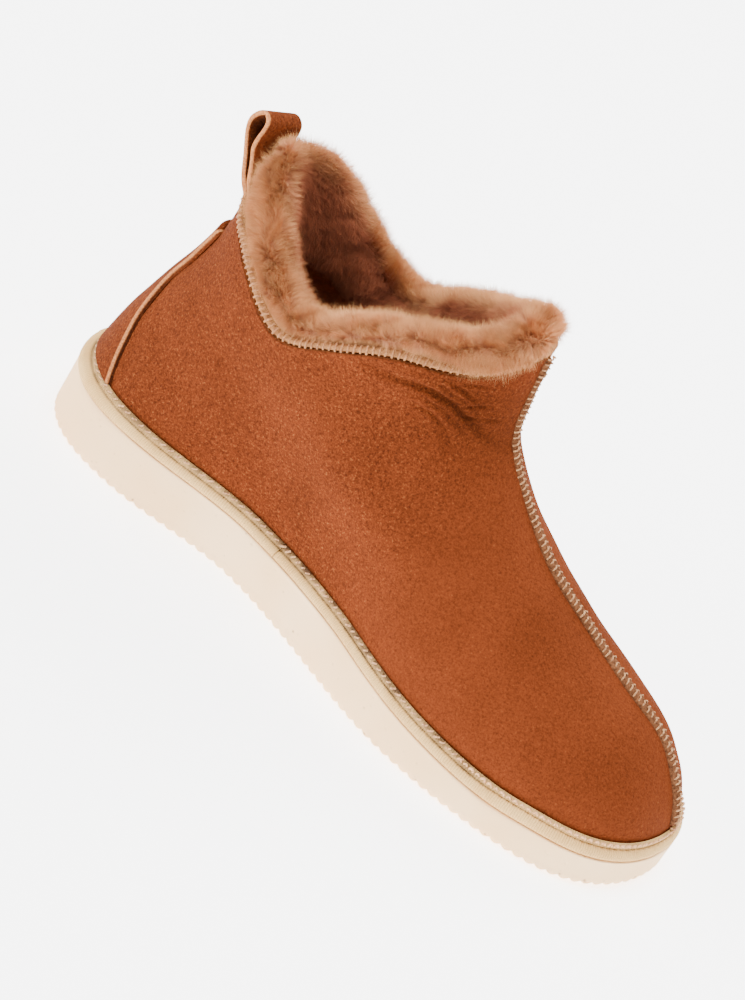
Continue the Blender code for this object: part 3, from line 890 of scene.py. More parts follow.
@dataclass(frozen=True)
class FleeceBed(Finish):
    """The wool seen between its tips, where it lies deep and matted, with painted shade on it."""

    name: str = "wool_pile_bed"
    low: str = "#A67252"
    main: str = "#C0865A"
    shadow: str = "#94543A"
    curl: float = 1.6
    tuft: float = 6.0

    def build(self, shading: Shading) -> Material:
        """Small curls with painted shade between them and tan on top."""
        add, place = shading.add, shading.place
        curl = add("TexNoise", {0: place, "Scale": 0.5 / self.curl, "Detail": 4.0, "Roughness": 0.65})[0]
        tuft = add("TexNoise", {0: place, "Scale": 0.5 / self.tuft})[0]
        deep = add("Attribute", attribute_name="deep")["Fac"]
        # Painted shade between the curls, mixed with random colour patches.
        colour = shading.tint(self.low, self.main, add("Mix", {0: 0.4, 2: curl, 3: tuft})[0], 0.36, 0.62)
        # Painted shade: darker and browner where the wool runs into the shoe.
        colour = shading.shade(colour, deep, 0.0, 1.0, 1.0, 0.75)
        colour = shading.tint(colour, self.shadow, deep, most=0.8)
        return shading.surface(colour, 0.95, curl, 0.7, 0.1)


@dataclass(frozen=True)
class MicroFoam(Finish):
    """Cream micro-cellular foam, cut and buffed: matt, with pinholes where cells were opened.

    It is darker and yellower towards the heel, and painted shade lies in patches along the tread.
    """

    name: str = "buffed_micro_foam"
    main: str = "#FFDAA8"
    warm: str = "#FBCF98"
    heel_tint: str = "#F1C28C"
    tread_shade_colour: str = "#DDB08C"
    pit: str = "#8E5C38"
    pit_spacing: float = 3.4
    pit_size: float = 0.42

    def build(self, shading: Shading) -> Material:
        """Even foam with slow warm patches and scattered pinholes."""
        add, place = shading.add, shading.place
        patch, cell, tread_shades = (
            add("TexNoise", {0: place, "Scale": 0.5 / size, "Detail": detail, "Roughness": roughness})[0]
            for size, detail, roughness in ((18.0, 2.0, 0.5), (0.7, 3.0, 0.6), (1.6, 4.0, 0.7)))
        low = add("Attribute", attribute_name="low")["Fac"]
        pits = add("TexVoronoi", {"Vector": place, "Scale": 1.0 / self.pit_spacing})
        rim = self.pit_size / self.pit_spacing * 1.6
        hole = add("MapRange", {0: pits["Distance"], 1: 0.0, 2: rim, 3: 1.0, 4: 0.0})[0]
        some = add("Math", {0: pits["Color"], 1: low}, operation="ADD")[0]
        few = add("MapRange", {0: some, 1: 0.75, 2: 0.95, 4: hole})[0]
        tread_shades = add("MapRange", {0: tread_shades, 1: 0.5, 2: 0.72, 3: 0.05, 4: 0.8})[0]
        length = add("SeparateXYZ", {0: place})["X"]
        # Darker and yellower towards the heel.
        heel_tint = add("MapRange", {0: length, 1: -125.0, 2: -55.0, 3: 0.75, 4: 0.0})[0]
        colour = shading.tint(self.main, self.warm, patch, 0.35, 0.65)
        colour = shading.tint(colour, self.heel_tint, heel_tint)
        # Painted shade in patches along the lower edge by the tread.
        tread_shades = add("Math", {0: tread_shades, 1: low}, operation="MULTIPLY")[0]
        colour = shading.tint(colour, self.tread_shade_colour, tread_shades)
        colour = shading.tint(colour, self.pit, few)
        cell = add("Math", {0: cell, 1: 0.35}, operation="MULTIPLY")[0]
        height = add("Math", {0: cell, 1: hole}, operation="SUBTRACT")[0]
        return shading.surface(colour, 0.75, height, 0.15, 0.3)


@dataclass(frozen=True)
class WovenTape(Finish):
    """Undyed ribbed cotton tape: matt, with a rib across it at each pick of the weave.

    The glue and the dye of the skin have stained it brown in patches, and painted shade darkens its groove
    and its lower edge.
    """

    name: str = "ribbed_cotton_tape"
    main: str = "#DFB473"
    worn: str = "#CC9C5C"
    stain: str = "#4C3524"
    rib: float = 0.92

    def build(self, shading: Shading) -> Material:
        """Ribs along the tape's own length with painted shade between them, threads in two creams, and the
        staining with painted shade.
        """
        add, place = shading.add, shading.place
        worn, thread, patch = (
            add("TexNoise", {0: place, "Scale": 0.5 / size, "Detail": detail, "Roughness": 0.6})[0]
            for size, detail in ((9.0, 3.0), (0.4, 2.0), (3.0, 3.0)))
        arc, stain = (add("Attribute", attribute_name=name)["Fac"] for name in ("arc", "stain"))
        phase = add("Math", {0: arc, 1: 2.0 * math.pi / self.rib}, operation="MULTIPLY")[0]
        rib = add("MapRange", {0: add("Math", {0: phase}, operation="SINE")[0], 1: -1.0, 2: 1.0})[0]
        height = add("Mix", {0: 0.3, 2: rib, 3: thread})[0]
        colour = shading.tint(self.main, self.worn, worn, 0.45, 0.75, 0.7)
        # Painted shade: the colour is darker where the ribs and threads lie low.
        colour = shading.shade(colour, height, 0.1, 0.8, 0.88, 1.03)
        patch = add("MapRange", {0: patch, 1: 0.3, 2: 0.6, 3: 0.45, 4: 1.0})[0]
        stain = add("Math", {0: stain, 1: patch}, operation="MULTIPLY")[0]
        # Staining, with painted shade in the groove and along the sole.
        colour = shading.tint(colour, self.stain, stain)
        return shading.surface(colour, 0.85, height, 0.3, 0.15)


@dataclass(frozen=True)
class SpunThread(Finish):
    """Spun polyester sewing thread, a strong beige, with a faint sheen along its ply."""

    name: str = "spun_sewing_thread"
    main: str = "#AE774A"
    deep: str = "#7E5034"
    ply: float = 0.33

    def build(self, shading: Shading) -> Material:
        """Ply marks too fine to show are drawn at a third of a millimetre."""
        ply = shading.add("TexNoise", {0: shading.place, "Scale": 0.5 / self.ply, "Roughness": 0.6})[0]
        return shading.surface(shading.tint(self.deep, self.main, ply, 0.35, 0.6), 0.7, ply, 0.1, 0.25)


@dataclass(frozen=True)
class Paper(Finish):
    """Seamless white paper under the slipper, lit to near white."""

    name: str = "seamless_studio_paper"
    main: str = "#FFFFFF"
    dull: str = "#FAFAFA"
    glow: float = 3.4

    def build(self, shading: Shading) -> Material:
        """Even white, lifted so that it stays pale under soft light."""
        tooth = shading.add("TexNoise", {0: shading.place, "Scale": 0.25})[0]
        return shading.surface(shading.tint(self.dull, self.main, tooth, 0.3, 0.7), 0.9, tooth, 0.02, 0.5,
                               Emission_Strength=self.glow, Emission_Color=self.main)


# ---------------------------------------------------------------- sole and upper

class Inset(NamedTuple):
    """Place on a rounded edge: how far in it is, and how high or low."""

    inward: float
    height: float


class Lump(NamedTuple):
    """Uneven height: the width of its lumps, the seed of its waves, and its height."""

    size: float
    seed: int
    height: float


def uneven(points: Array, *lumps: Lump) -> Array:
    """Uneven heights added up at each point."""
    return sum(waves(points, lump.size, lump.seed) * lump.height for lump in lumps)


def round_edge(border: Array, radius: float) -> Array:
    """Quarter circle that rises from 0 at a border to 1 a radius away from it."""
    return np.sqrt(1.0 - (1.0 - np.clip(border / radius, 0.0, 1.0)) ** 2)


def spine_rows(outline: Array, across: int) -> Array:
    """Rows from each point of the inner side's outline to the outer one at the same length.

    Args:
        outline: Closed outline whose first point is the heel and whose middle one is the toe.
        across: Number of points in a row.

    Returns:
        Rows of points, which shrink to a point at both ends.
    """
    half = len(outline) // 2
    inner = outline[:half + 1]
    outer = np.concatenate([outline[:1], outline[:half - 1:-1]])
    share = np.linspace(0.0, 1.0, across)[None, :, None]
    return inner[:, None, :] * (1.0 - share) + outer[:, None, :] * share


@dataclass
class Part:
    """A sub-assembly that is cut round the last."""

    last: Last


@dataclass
class Outsole(Part):
    """Wedge of foam with a scalloped lower edge and ribs across its tread."""

    finish: Finish = MicroFoam()
    lug_pitch: float = 4.35
    points_per_lug: int = 6
    lug_depth: float = 1.1
    lug_band: float = 2.6
    tread_edge: tuple[Inset, ...] = (Inset(4.0, 0.0), Inset(1.2, 0.0), Inset(0.35, 0.12), Inset(0.0, 0.6))
    top_edge: tuple[Inset, ...] = (Inset(0.15, 0.35), Inset(0.4, 0.1), Inset(0.7, 0.0))
    flat_inset: float = 6.0
    wall_rows: int = 9
    tread_across: int = 12
    top_across: int = 6
    sway: Lump = Lump(22.0, 3, 0.18)
    # Painted shade along the tread, fading out up the wall.
    tread_shade_band: Span = Span(0.0, 4.5)
    turn_step: float = 0.002

    def turns(self) -> tuple[Array, Array]:
        """Places evenly spaced round the outline, and the tread's ribs at them."""
        fine = np.linspace(0.0, 1.0, 4001)
        arc = arc_lengths(np.stack(sole_outline(fine, 0.0), axis=-1))
        half = np.interp(0.5, fine, arc)
        sides = ((0.0, half), (half, arc[-1] - half))
        lugs = [round(length / self.lug_pitch) for _, length in sides]
        count = max(lugs) * self.points_per_lug
        place = np.arange(count) / count
        turn = [np.interp(start + place * length, arc, fine) for start, length in sides]
        notch = [self.lug_depth * (1.0 - np.abs(np.cos(np.pi * ribs * place))) for ribs in lugs]
        return np.concatenate(turn), np.concatenate(notch)

    def build(self) -> Object:
        """Wall, ribbed tread and top as one closed shell."""
        turn, notch = self.turns()
        rows = []

        def ring(inset: float, height: Callable[[Array], Array]) -> None:
            """Add a ring along the outline moved inwards, at heights that follow its lengths."""
            x, y = sole_outline(turn, inset)
            rows.append(np.stack([x, y, height(x)], axis=-1))

        def rim(x: Array) -> Array:
            """Height of the sole's upper edge."""
            return column(SOLE_TOP, x) + edge_sway(x, on_inner_side(turn))

        def wall(x: Array, share: float) -> Array:
            """Height of the wall, a share of the way from the lugs to its upper edge."""
            low = sole_bottom(x) + self.lug_band
            return low + (rim(x) - self.top_edge[-1].inward - low) * share

        for spot in self.tread_edge:
            ring(spot.inward, lambda x: sole_bottom(x) + notch + spot.height)
        for share in np.linspace(0.0, 1.0, self.wall_rows):
            ring(0.0, lambda x: wall(x, share))
        for spot in self.top_edge:
            ring(spot.inward, lambda x: rim(x) - spot.height)
        ring(self.flat_inset, lambda x: column(SOLE_TOP, x))
        rings = np.stack(rows)
        first = len(self.tread_edge)
        middle = rings[first:first + self.wall_rows]
        middle[..., :2] += uneven(middle, self.sway)[..., None] * self.outward(turn)[None]
        whole = Surface.of_rows(rings, ring=True, low=self.tread_shade_at(rings))
        for sheet in (spine_rows(rings[0], self.tread_across), spine_rows(rings[-1], self.top_across)):
            whole = whole.joined(Surface.of_rows(sheet, low=self.tread_shade_at(sheet)))
        sole = whole.object("outsole_foam", self.finish.material(), welded=True)
        return mount(sole, "sole_foam", "outsole")

    def tread_shade_at(self, points: Array) -> Array:
        """Share of painted shade and of extra pinholes at each point, strongest at the tread."""
        return self.tread_shade_band.drop(points[..., 2] - sole_bottom(points[..., 0]))

    def outward(self, turn: Array) -> Array:
        """Level directions out of the sole's outline."""
        ends = sole_outline(turn + self.turn_step, 0.0), sole_outline(turn - self.turn_step, 0.0)
        along_x, along_y = (after - before for after, before in zip(*ends))
        return unit(np.stack([along_y, -along_x], axis=-1))


@dataclass
class Insole(Part):
    """Sock of sheepskin on the sole, wool side up."""

    finish: Finish = FleeceBed()
    base_up: float = 0.35
    thick: float = 6.0
    edge_out: float = -4.6
    edge_round: float = 7.0
    across: int = 36
    along: int = 130
    lumps: tuple[Lump, ...] = (Lump(4.0, 11, 0.5), Lump(9.0, 12, 0.5))
    shade: float = 0.75

    def build(self) -> Object:
        """Crowned pad whose pile lies in small lumps."""
        turn = np.arange(2 * self.along) / (2 * self.along)
        rows = spine_rows(self.last.foot(turn, self.base_up, self.edge_out), self.across)
        width = np.linalg.norm(rows[:, -1] - rows[:, 0], axis=-1)[:, None]
        share = np.linspace(0.0, 1.0, self.across)[None, :]
        border = width / 2.0 * (1.0 - np.abs(2.0 * share - 1.0))
        over = rows.copy()
        over[..., 2] += round_edge(border, self.edge_round) * (self.thick + uneven(rows, *self.lumps))
        # Painted shade all over the insole, which lies inside the shoe.
        deep = np.full(rows.shape[:-1], self.shade)
        pad = Surface.of_rows(over, deep=deep).joined(Surface.of_rows(rows, deep=deep))
        piece = pad.object("insole_wool", self.finish.material(), welded=True)
        mount(piece, "fleece", "insole")
        return piece


class Side(Enum):
    """Side of the foot, as the sign of its sideways place."""

    INNER = -1.0
    OUTER = 1.0


@dataclass(frozen=True)
class Crease:
    """Soft trough with raised shoulders, along a line of lengths and heights."""

    side: Side
    line: tuple[tuple[float, float], ...]
    depth: float
    half_width: float
    shoulder: float = 0.55
    shoulder_at: float = 2.1
    faint_end: float = 0.04
    fading: float = 0.6

    def measure(self, points: Array) -> tuple[Array, Array]:
        """Distance from the line, and the share of the way along it, for each point."""
        best = np.full(points.shape[:-1], np.inf)
        along = np.zeros(points.shape[:-1])
        place = points[..., (0, 2)]
        for index, ends in enumerate(zip(self.line, self.line[1:])):
            a, b = np.array(ends)
            t = np.clip((place - a) @ (b - a) / ((b - a) @ (b - a)), 0.0, 1.0)
            away = np.linalg.norm(place - a - t[..., None] * (b - a), axis=-1)
            along = np.where(away < best, (index + t) / (len(self.line) - 1), along)
            best = np.minimum(away, best)
        return best, along

    def strength(self, points: Array) -> tuple[Array, Array]:
        """Trough and shoulders at each point, both from 0 to 1."""
        away, along = self.measure(points)
        fade = np.sin(np.pi * np.clip(along, self.faint_end, 1.0 - self.faint_end)) ** self.fading
        fade = np.where(points[..., 1] * self.side.value > 0.0, fade, 0.0)
        trough = np.exp(-(away / self.half_width) ** 2) * fade
        shoulders = np.exp(-((away - self.shoulder_at * self.half_width) / self.half_width) ** 2) * fade
        return trough, shoulders


class Patch(NamedTuple):
    """Place where the suede is darker, partly its own nap and partly painted shade: length, height, radius
    and strength.
    """

    x: float
    z: float
    radius: float
    strength: float


@dataclass
class Upper(Part):
    """Sheepskin upper: dyed suede outside, cut edges, and the inside of the skin."""

    finish: Finish = BrushedSuede()
    wall: float = 3.0
    around: int = 470
    low_rows: int = 72
    high_rows: int = 76
    high_from: float = 0.72
    inside_rows: int = 12
    sway: tuple[Lump, ...] = (Lump(26.0, 21, 0.2), Lump(9.0, 22, 0.10))
    foot_flat: Span = Span(0.04, 0.14)
    rim_flat: Span = Span(0.0, 0.03)
    crease_shade: float = 0.35
    most_shade: float = 0.9
    creases: tuple[Crease, ...] = (
        Crease(Side.INNER, ((101.6, 106.6), (110.1, 107.6), (117.3, 109.3), (123.1, 109.9), (129.8, 108.8),
                            (135.7, 105.3), (141.4, 101.5), (148.7, 97.7)), 1.1, 1.5),
        Crease(Side.INNER, ((112.0, 104.6), (122.0, 106.4), (129.0, 105.4), (136.0, 101.2), (141.0, 97.0)),
               0.7, 0.8),
        Crease(Side.INNER, ((119.0, 102.4), (126.0, 102.6), (132.0, 99.4), (137.0, 94.8)), 0.5, 0.7),
        Crease(Side.INNER, ((118.0, 113.0), (125.0, 113.4), (132.0, 111.0), (139.0, 107.4)), 0.6, 0.7),
        Crease(Side.INNER, ((129.5, 116.5), (132.5, 117.8), (136.5, 118.4)), 0.45, 0.6),
        Crease(Side.INNER, ((132.0, 108.0), (136.0, 110.4), (140.5, 112.0)), 0.5, 0.6),
        Crease(Side.INNER, ((134.0, 104.4), (138.6, 106.2), (144.0, 107.2)), 0.5, 0.6),
        Crease(Side.INNER, ((129.0, 99.4), (134.0, 95.8), (138.0, 90.6)), 0.45, 0.7),
        Crease(Side.INNER, ((124.0, 116.4), (130.0, 115.0), (136.0, 112.0)), 0.45, 0.6),
        Crease(Side.OUTER, ((98.0, 104.0), (110.0, 106.4), (122.0, 107.6), (134.0, 104.0), (145.0, 98.5)),
               1.1, 1.5),
        Crease(Side.OUTER, ((115.0, 101.0), (126.0, 102.2), (137.0, 98.0)), 0.6, 0.8),
        Crease(Side.OUTER, ((120.0, 110.6), (130.0, 109.6), (140.0, 105.0)), 0.5, 0.7))
    patches: tuple[Patch, ...] = (
        Patch(104.0, 46.0, 9.0, 0.20), Patch(114.0, 71.0, 8.0, 0.14), Patch(120.0, 89.0, 9.0, 0.14),
        Patch(133.0, 111.0, 12.0, 0.28), Patch(142.0, 99.0, 16.0, 0.28), Patch(136.0, 72.0, 18.0, 0.14),
        Patch(157.0, 71.0, 9.0, 0.16), Patch(195.0, 59.0, 10.0, 0.20), Patch(240.0, 34.0, 12.0, 0.12))

    def relief(self, points: Array) -> tuple[Array, Array]:
        """Height of creases and slow waves, and the painted shade laid in the creases and the dark patches.
        """
        height = uneven(points, *self.sway)
        shade = np.zeros(points.shape[:-1])
        for crease in self.creases:
            trough, shoulders = crease.strength(points)
            height += crease.depth * (crease.shoulder * shoulders - trough)
            # Painted shade in each crease's trough.
            shade += crease.depth * self.crease_shade * trough
        # Dark patches: partly the nap's own colour, partly painted shade, most of it under the collar's
        # front.
        for patch in self.patches:
            away = np.hypot(points[..., 0] - patch.x, points[..., 2] - patch.z)
            shade += patch.strength * np.exp(-(away / patch.radius) ** 2)
        return height, np.clip(shade, 0.0, self.most_shade)

    def build(self) -> Object:
        """Outside, rim and inside as one closed shell."""
        turn = np.arange(self.around)[None, :] / self.around
        low = np.linspace(0.0, self.high_from, self.low_rows, endpoint=False)
        climb = np.concatenate([low, np.linspace(self.high_from, 1.0, self.high_rows)])[:, None]
        base = self.last.wall(turn, climb, 0.0)
        height, shade = self.relief(base)
        height *= self.foot_flat.rise(climb) * self.rim_flat.rise(1.0 - climb)
        outside = base + self.last.wall_normal(turn, climb) * height[..., None]
        inside = self.last.wall(turn, np.linspace(1.0, 0.0, self.inside_rows)[:, None], -self.wall)
        rows = np.concatenate([outside, inside])
        shades = np.concatenate([shade, np.zeros(inside.shape[:-1])])
        edge = np.zeros(rows.shape[:-1])
        edge[len(climb):] = 1.0
        shell = Surface.of_rows(rows, ring=True, loop=True, shade=shades, edge=edge)
        return mount(shell.object("upper_suede", self.finish.material()), "suede", "upper")


@dataclass
class Lining(Part):
    """Wool inside of the upper, from the collar down to the insole."""

    finish: Finish = FleeceBed()
    wall: float = 3.05
    pile: float = 4.6
    around: int = 240
    upwards: int = 34
    top: float = 0.985
    foot: float = 0.03
    thicken: Span = Span(0.0, 0.08)
    lumps: tuple[Lump, ...] = (Lump(4.5, 31, 0.6), Lump(11.0, 32, 0.7))
    lump_range: Span = Span(-1.5, 2.0)
    # Painted shade inside the shoe, darker further down.
    darken: Span = Span(0.0, 0.3)
    dark: float = 0.6
    darker: float = 0.35

    def build(self) -> Object:
        """Closed sheet whose wool side is lumpy."""
        turn = np.arange(self.around)[None, :] / self.around
        down = np.linspace(self.top, self.foot, self.upwards)[:, None]
        back = self.last.wall(turn, down, -self.wall)
        depth = self.pile * self.thicken.rise(1.0 - down) + 0.0 * turn
        lumps = np.clip(uneven(back, *self.lumps), *self.lump_range)
        front = self.last.wall(turn, down, -self.wall - depth - lumps)
        # Painted shade, darker towards the insole.
        deep = self.darken.rise(1.0 - down) * self.darker + self.dark + 0.0 * turn
        sheet = Surface.of_rows(np.concatenate([back, front[::-1]]), ring=True, loop=True,
                                deep=np.concatenate([deep, deep[::-1]]))
        return mount(sheet.object("lining_wool", self.finish.material()), "fleece")


# ---------------------------------------------------------------- tape, stay, seams and loop

class Offset(NamedTuple):
    """Place on the tape's section: out from the upper, and up, with its share of staining and painted
    shade.
    """

    out: float
    up: float
    stain: float


@dataclass
class WeltTape(Part):
    """Corded tape round the foot: a ribbed bead, a groove that is stained and darkened with painted shade,
    and a looped selvedge.
    """

    finish: Finish = WovenTape()
    clean_loops: Finish = SpunThread("selvedge_cord", "#E2B083", "#B27E56")
    worn_loops: Finish = SpunThread("stained_selvedge_cord", "#C79A70", "#8A5E40")
    # The third column is the share of staining and painted shade: painted shade in the crevice along the
    # sole and in the groove above the bead.
    section: tuple[Offset, ...] = tuple(Offset(*row) for row in (
        (0.35, 0.3, 1.0), (1.4, 0.28, 1.0), (2.4, 0.25, 0.8), (3.0, 0.55, 0.25), (3.3, 1.05, 0.0),
        (3.35, 1.7, 0.0), (3.25, 2.4, 0.0), (2.95, 3.0, 0.0), (2.5, 3.45, 0.0), (1.95, 3.75, 0.0),
        (1.5, 3.75, 0.5), (1.25, 3.9, 1.0), (1.3, 4.3, 0.8), (1.45, 4.9, 0.7), (1.5, 5.6, 0.9),
        (1.4, 6.3, 1.0), (1.1, 6.8, 1.0), (0.6, 6.95, 0.9), (0.3, 6.6, 0.8), (0.2, 3.0, 0.8)))
    bead_front: int = 4
    bead_end: int = 10
    drop_from: int = 3
    drop_height: float = 2.6
    arc_along: int = 5
    joint_turn: float = 0.215
    joint_gap: float = 0.00012
    toe: Span = Span(205.0, 225.0)
    toe_stretch: float = 1.22
    heel: Span = Span(10.0, 48.0)
    heel_drop: float = 1.7
    waist: Band = Band(100.0, 112.0, 168.0, 215.0)
    stain: float = 0.85
    waist_stain: float = 0.15
    heel_clean: float = 0.1
    toe_clean: float = 0.5
    rows: int = 720
    toe_loops: Bars = Bars(2.55, (-0.75, -0.5, 0.1), (0.0, 1.3, 0.9), (0.75, -0.5, 0.1), 0.4, 41,
                           0.15, 0.15, 5)
    waist_loops: Bars = Bars(2.7, (-0.8, -0.7, 0.0), (0.0, 0.1, 0.85), (0.8, 0.6, 0.0), 0.36, 42,
                             0.15, 0.15, 5)
    heel_loops: Bars = Bars(3.4, (-1.0, -0.6, 0.0), (0.0, 0.1, 0.8), (1.0, 0.5, 0.0), 0.36, 43,
                            0.15, 0.12, 5)
    toe_turn: float = 0.335
    loop_up: float = 6.3
    loop_out: float = 1.25
    loop_level: float = 0.2

    def ledge(self, turn: Array) -> Array:
        """Width of the sole's edge outside the foot of the upper."""
        foot = self.last.foot(turn, FOOT_GAP, 0.0)[..., :2]
        edge = np.stack(sole_outline(np.arange(2000) / 2000.0, 0.0), axis=-1)
        return np.linalg.norm(foot[:, None, :] - edge[None, :, :], axis=-1).min(axis=1)

    def line(self, start: float, end: float) -> Object:
        """Guide line for the selvedge between two turns."""
        turn = np.linspace(start, end, self.rows) % 1.0
        points = self.last.foot(turn, self.loop_up, self.loop_out)
        return path_guide(points, self.last.level_outward(turn, self.loop_level))

    def body(self) -> Surface:
        """Tape from its butt joint right round to it again, closed at both ends."""
        turn = self.joint_turn + self.joint_gap + np.linspace(0.0, 1.0 - 2.0 * self.joint_gap, self.rows)
        x = self.last.foot(turn, 1.0, 0.0)[..., 0]
        widen = np.maximum(self.ledge(turn) / self.section[self.bead_front].out, 1.0)
        heel, toe = self.heel.drop(x), self.toe.rise(x)
        columns = []
        for index, spot in enumerate(self.section):
            in_bead = index <= self.bead_end + 1
            out = spot.out * (widen if in_bead else 1.0)
            up = spot.up * (1.0 + (self.toe_stretch - 1.0) * toe if in_bead else 1.0)
            drops = self.drop_from <= index <= self.bead_end
            low = max(0.0, 1.0 - spot.up / self.drop_height) if drops else 0.0
            fall = np.array([0.0, 0.0, 1.0]) * (self.heel_drop * heel * low)[:, None]
            columns.append(self.last.foot(turn, up, out) - fall)
        rows = np.stack(columns, axis=1)
        arc = np.pad(arc_lengths(rows[:, self.arc_along]), 1, mode="edge")
        inner = self.stain + self.waist_stain * self.waist.at(x)
        strength = np.where(on_inner_side(turn), inner, self.stain)
        strength = strength * (1.0 - self.heel_clean * heel - self.toe_clean * toe)
        ends = [rows[i].mean(axis=0, keepdims=True) + np.zeros_like(rows[i]) for i in (0, -1)]
        rows = np.concatenate([ends[0][None], rows, ends[1][None]])
        stain = np.pad(strength, 1, mode="edge")[:, None] * np.array([spot.stain for spot in self.section])
        return Surface.of_rows(rows, ring=True, stain=stain, arc=arc[:, None] + 0.0 * stain)

    def build(self) -> list[Object]:
        """Tape with its looped selvedge."""
        tape = self.body().object("tape_body", self.finish.material(), welded=True)
        pieces = [mount(tape, "tape", "welt_tape")]
        joint, toe = self.joint_turn, self.toe_turn
        for name, bars, start, end, finish in (
                ("tape_toe_loops", self.toe_loops, toe, 1.0 - joint, self.clean_loops),
                ("tape_waist_loops", self.waist_loops, joint, toe, self.worn_loops),
                ("tape_heel_loops", self.heel_loops, 1.0 - joint, 1.0 + joint, self.worn_loops)):
            pieces.append(mount(bars.lay(name, self.line(start, end), finish), "tape"))
        return pieces


class Hem(NamedTuple):
    """Place on a strap's edge: how far in and out it is, how much painted shadow it has, and how much cut.
    """

    inset: float
    out: float
    shade: float
    cut: float


@dataclass
class HeelStay(Part):
    """Strap of suede sewn up the back of the heel, with pale cut edges over a painted shadow line in the
    gap beside them.
    """

    finish: Finish = BrushedSuede()
    widths: tuple[Knot, ...] = (Knot(30.0, 26.5), Knot(44.0, 22.5), Knot(56.0, 16.5), Knot(68.0, 11.5),
                                Knot(80.0, 8.5), Knot(95.0, 6.5))
    hem: tuple[Hem, ...] = tuple(Hem(*row) for row in (
        (0.0, -0.2, 0.9, 0.0), (0.1, 0.5, 0.95, 0.0), (0.85, 0.6, 1.0, 0.0), (0.95, 0.95, 0.7, 0.2),
        (1.0, 1.3, 0.0, 1.0), (1.12, 1.8, 0.0, 1.0), (1.35, 2.0, 0.0, 0.8), (1.7, 2.05, 0.0, 0.0),
        (2.4, 2.0, 0.0, 0.0)))
    across: int = 26
    sway: Lump = Lump(7.0, 71, 0.25)
    gap_fades: Span = Span(58.0, 82.0)
    gap_fading: float = 0.8
    sunk: float = 0.2
    end_length: float = 2.0
    top_z: float = 95.0
    foot_up: float = 6.9
    rows: int = 90

    def build(self) -> Object:
        """Sheet that widens towards the sole, on a dark line of painted shadow."""
        collar = self.last.collar_level(0.0)
        top = float(self.last.level_at_height(np.array(0.0), self.top_z) / collar)
        climb = np.linspace(self.foot_up / RINGS[1].lift_side / float(collar), top, self.rows)
        z = self.last.wall(0.0, climb, 0.0)[..., 2]
        half = column(self.widths, z) + uneven(np.stack([z, 0.0 * z, 0.0 * z], axis=-1), self.sway)
        per_mm = self.last.turn_beside(0.0, climb, np.ones_like(climb))
        reach = (1.0 - self.last.turn_at_side(climb, half)) / per_mm
        hem = Hem(*(np.array(values) for values in zip(*self.hem)))
        middle = np.linspace(-1.0, 1.0, self.across)[None, :] * (reach - hem.inset[-1])[:, None]
        rim = reach[:, None] - hem.inset[None, :-1]
        turn = np.concatenate([-rim, middle, rim[:, ::-1]], axis=1) * per_mm[:, None]

        def mirrored(values: Array, middle: float) -> Array:
            """A row of the strap's values, the same at both of its edges."""
            return np.concatenate([values[:-1], np.full(self.across, middle), values[-2::-1]])[None, :]

        ending = np.clip((z[-1] - z) / self.end_length, 0.0, 1.0)[:, None] ** 0.5
        # Painted shadow: a dark line in the gap beside each edge, fading towards the top.
        dark = mirrored(hem.shade, 0.0) * (1.0 - self.gap_fading * self.gap_fades.rise(z))[:, None]
        pale = mirrored(hem.cut, 0.0) + 0.0 * dark
        out = (mirrored(hem.out, hem.out[-1]) + self.sunk) * ending - self.sunk
        sheets = [Surface.of_rows(self.last.wall(turn, climb[:, None], side), edge=pale, shade=dark)
                  for side in (out, -self.sunk)]
        piece = sheets[0].joined(sheets[1]).object("heel_stay_suede", self.finish.material(), welded=True)
        return mount(piece, "suede", "heel_stay")


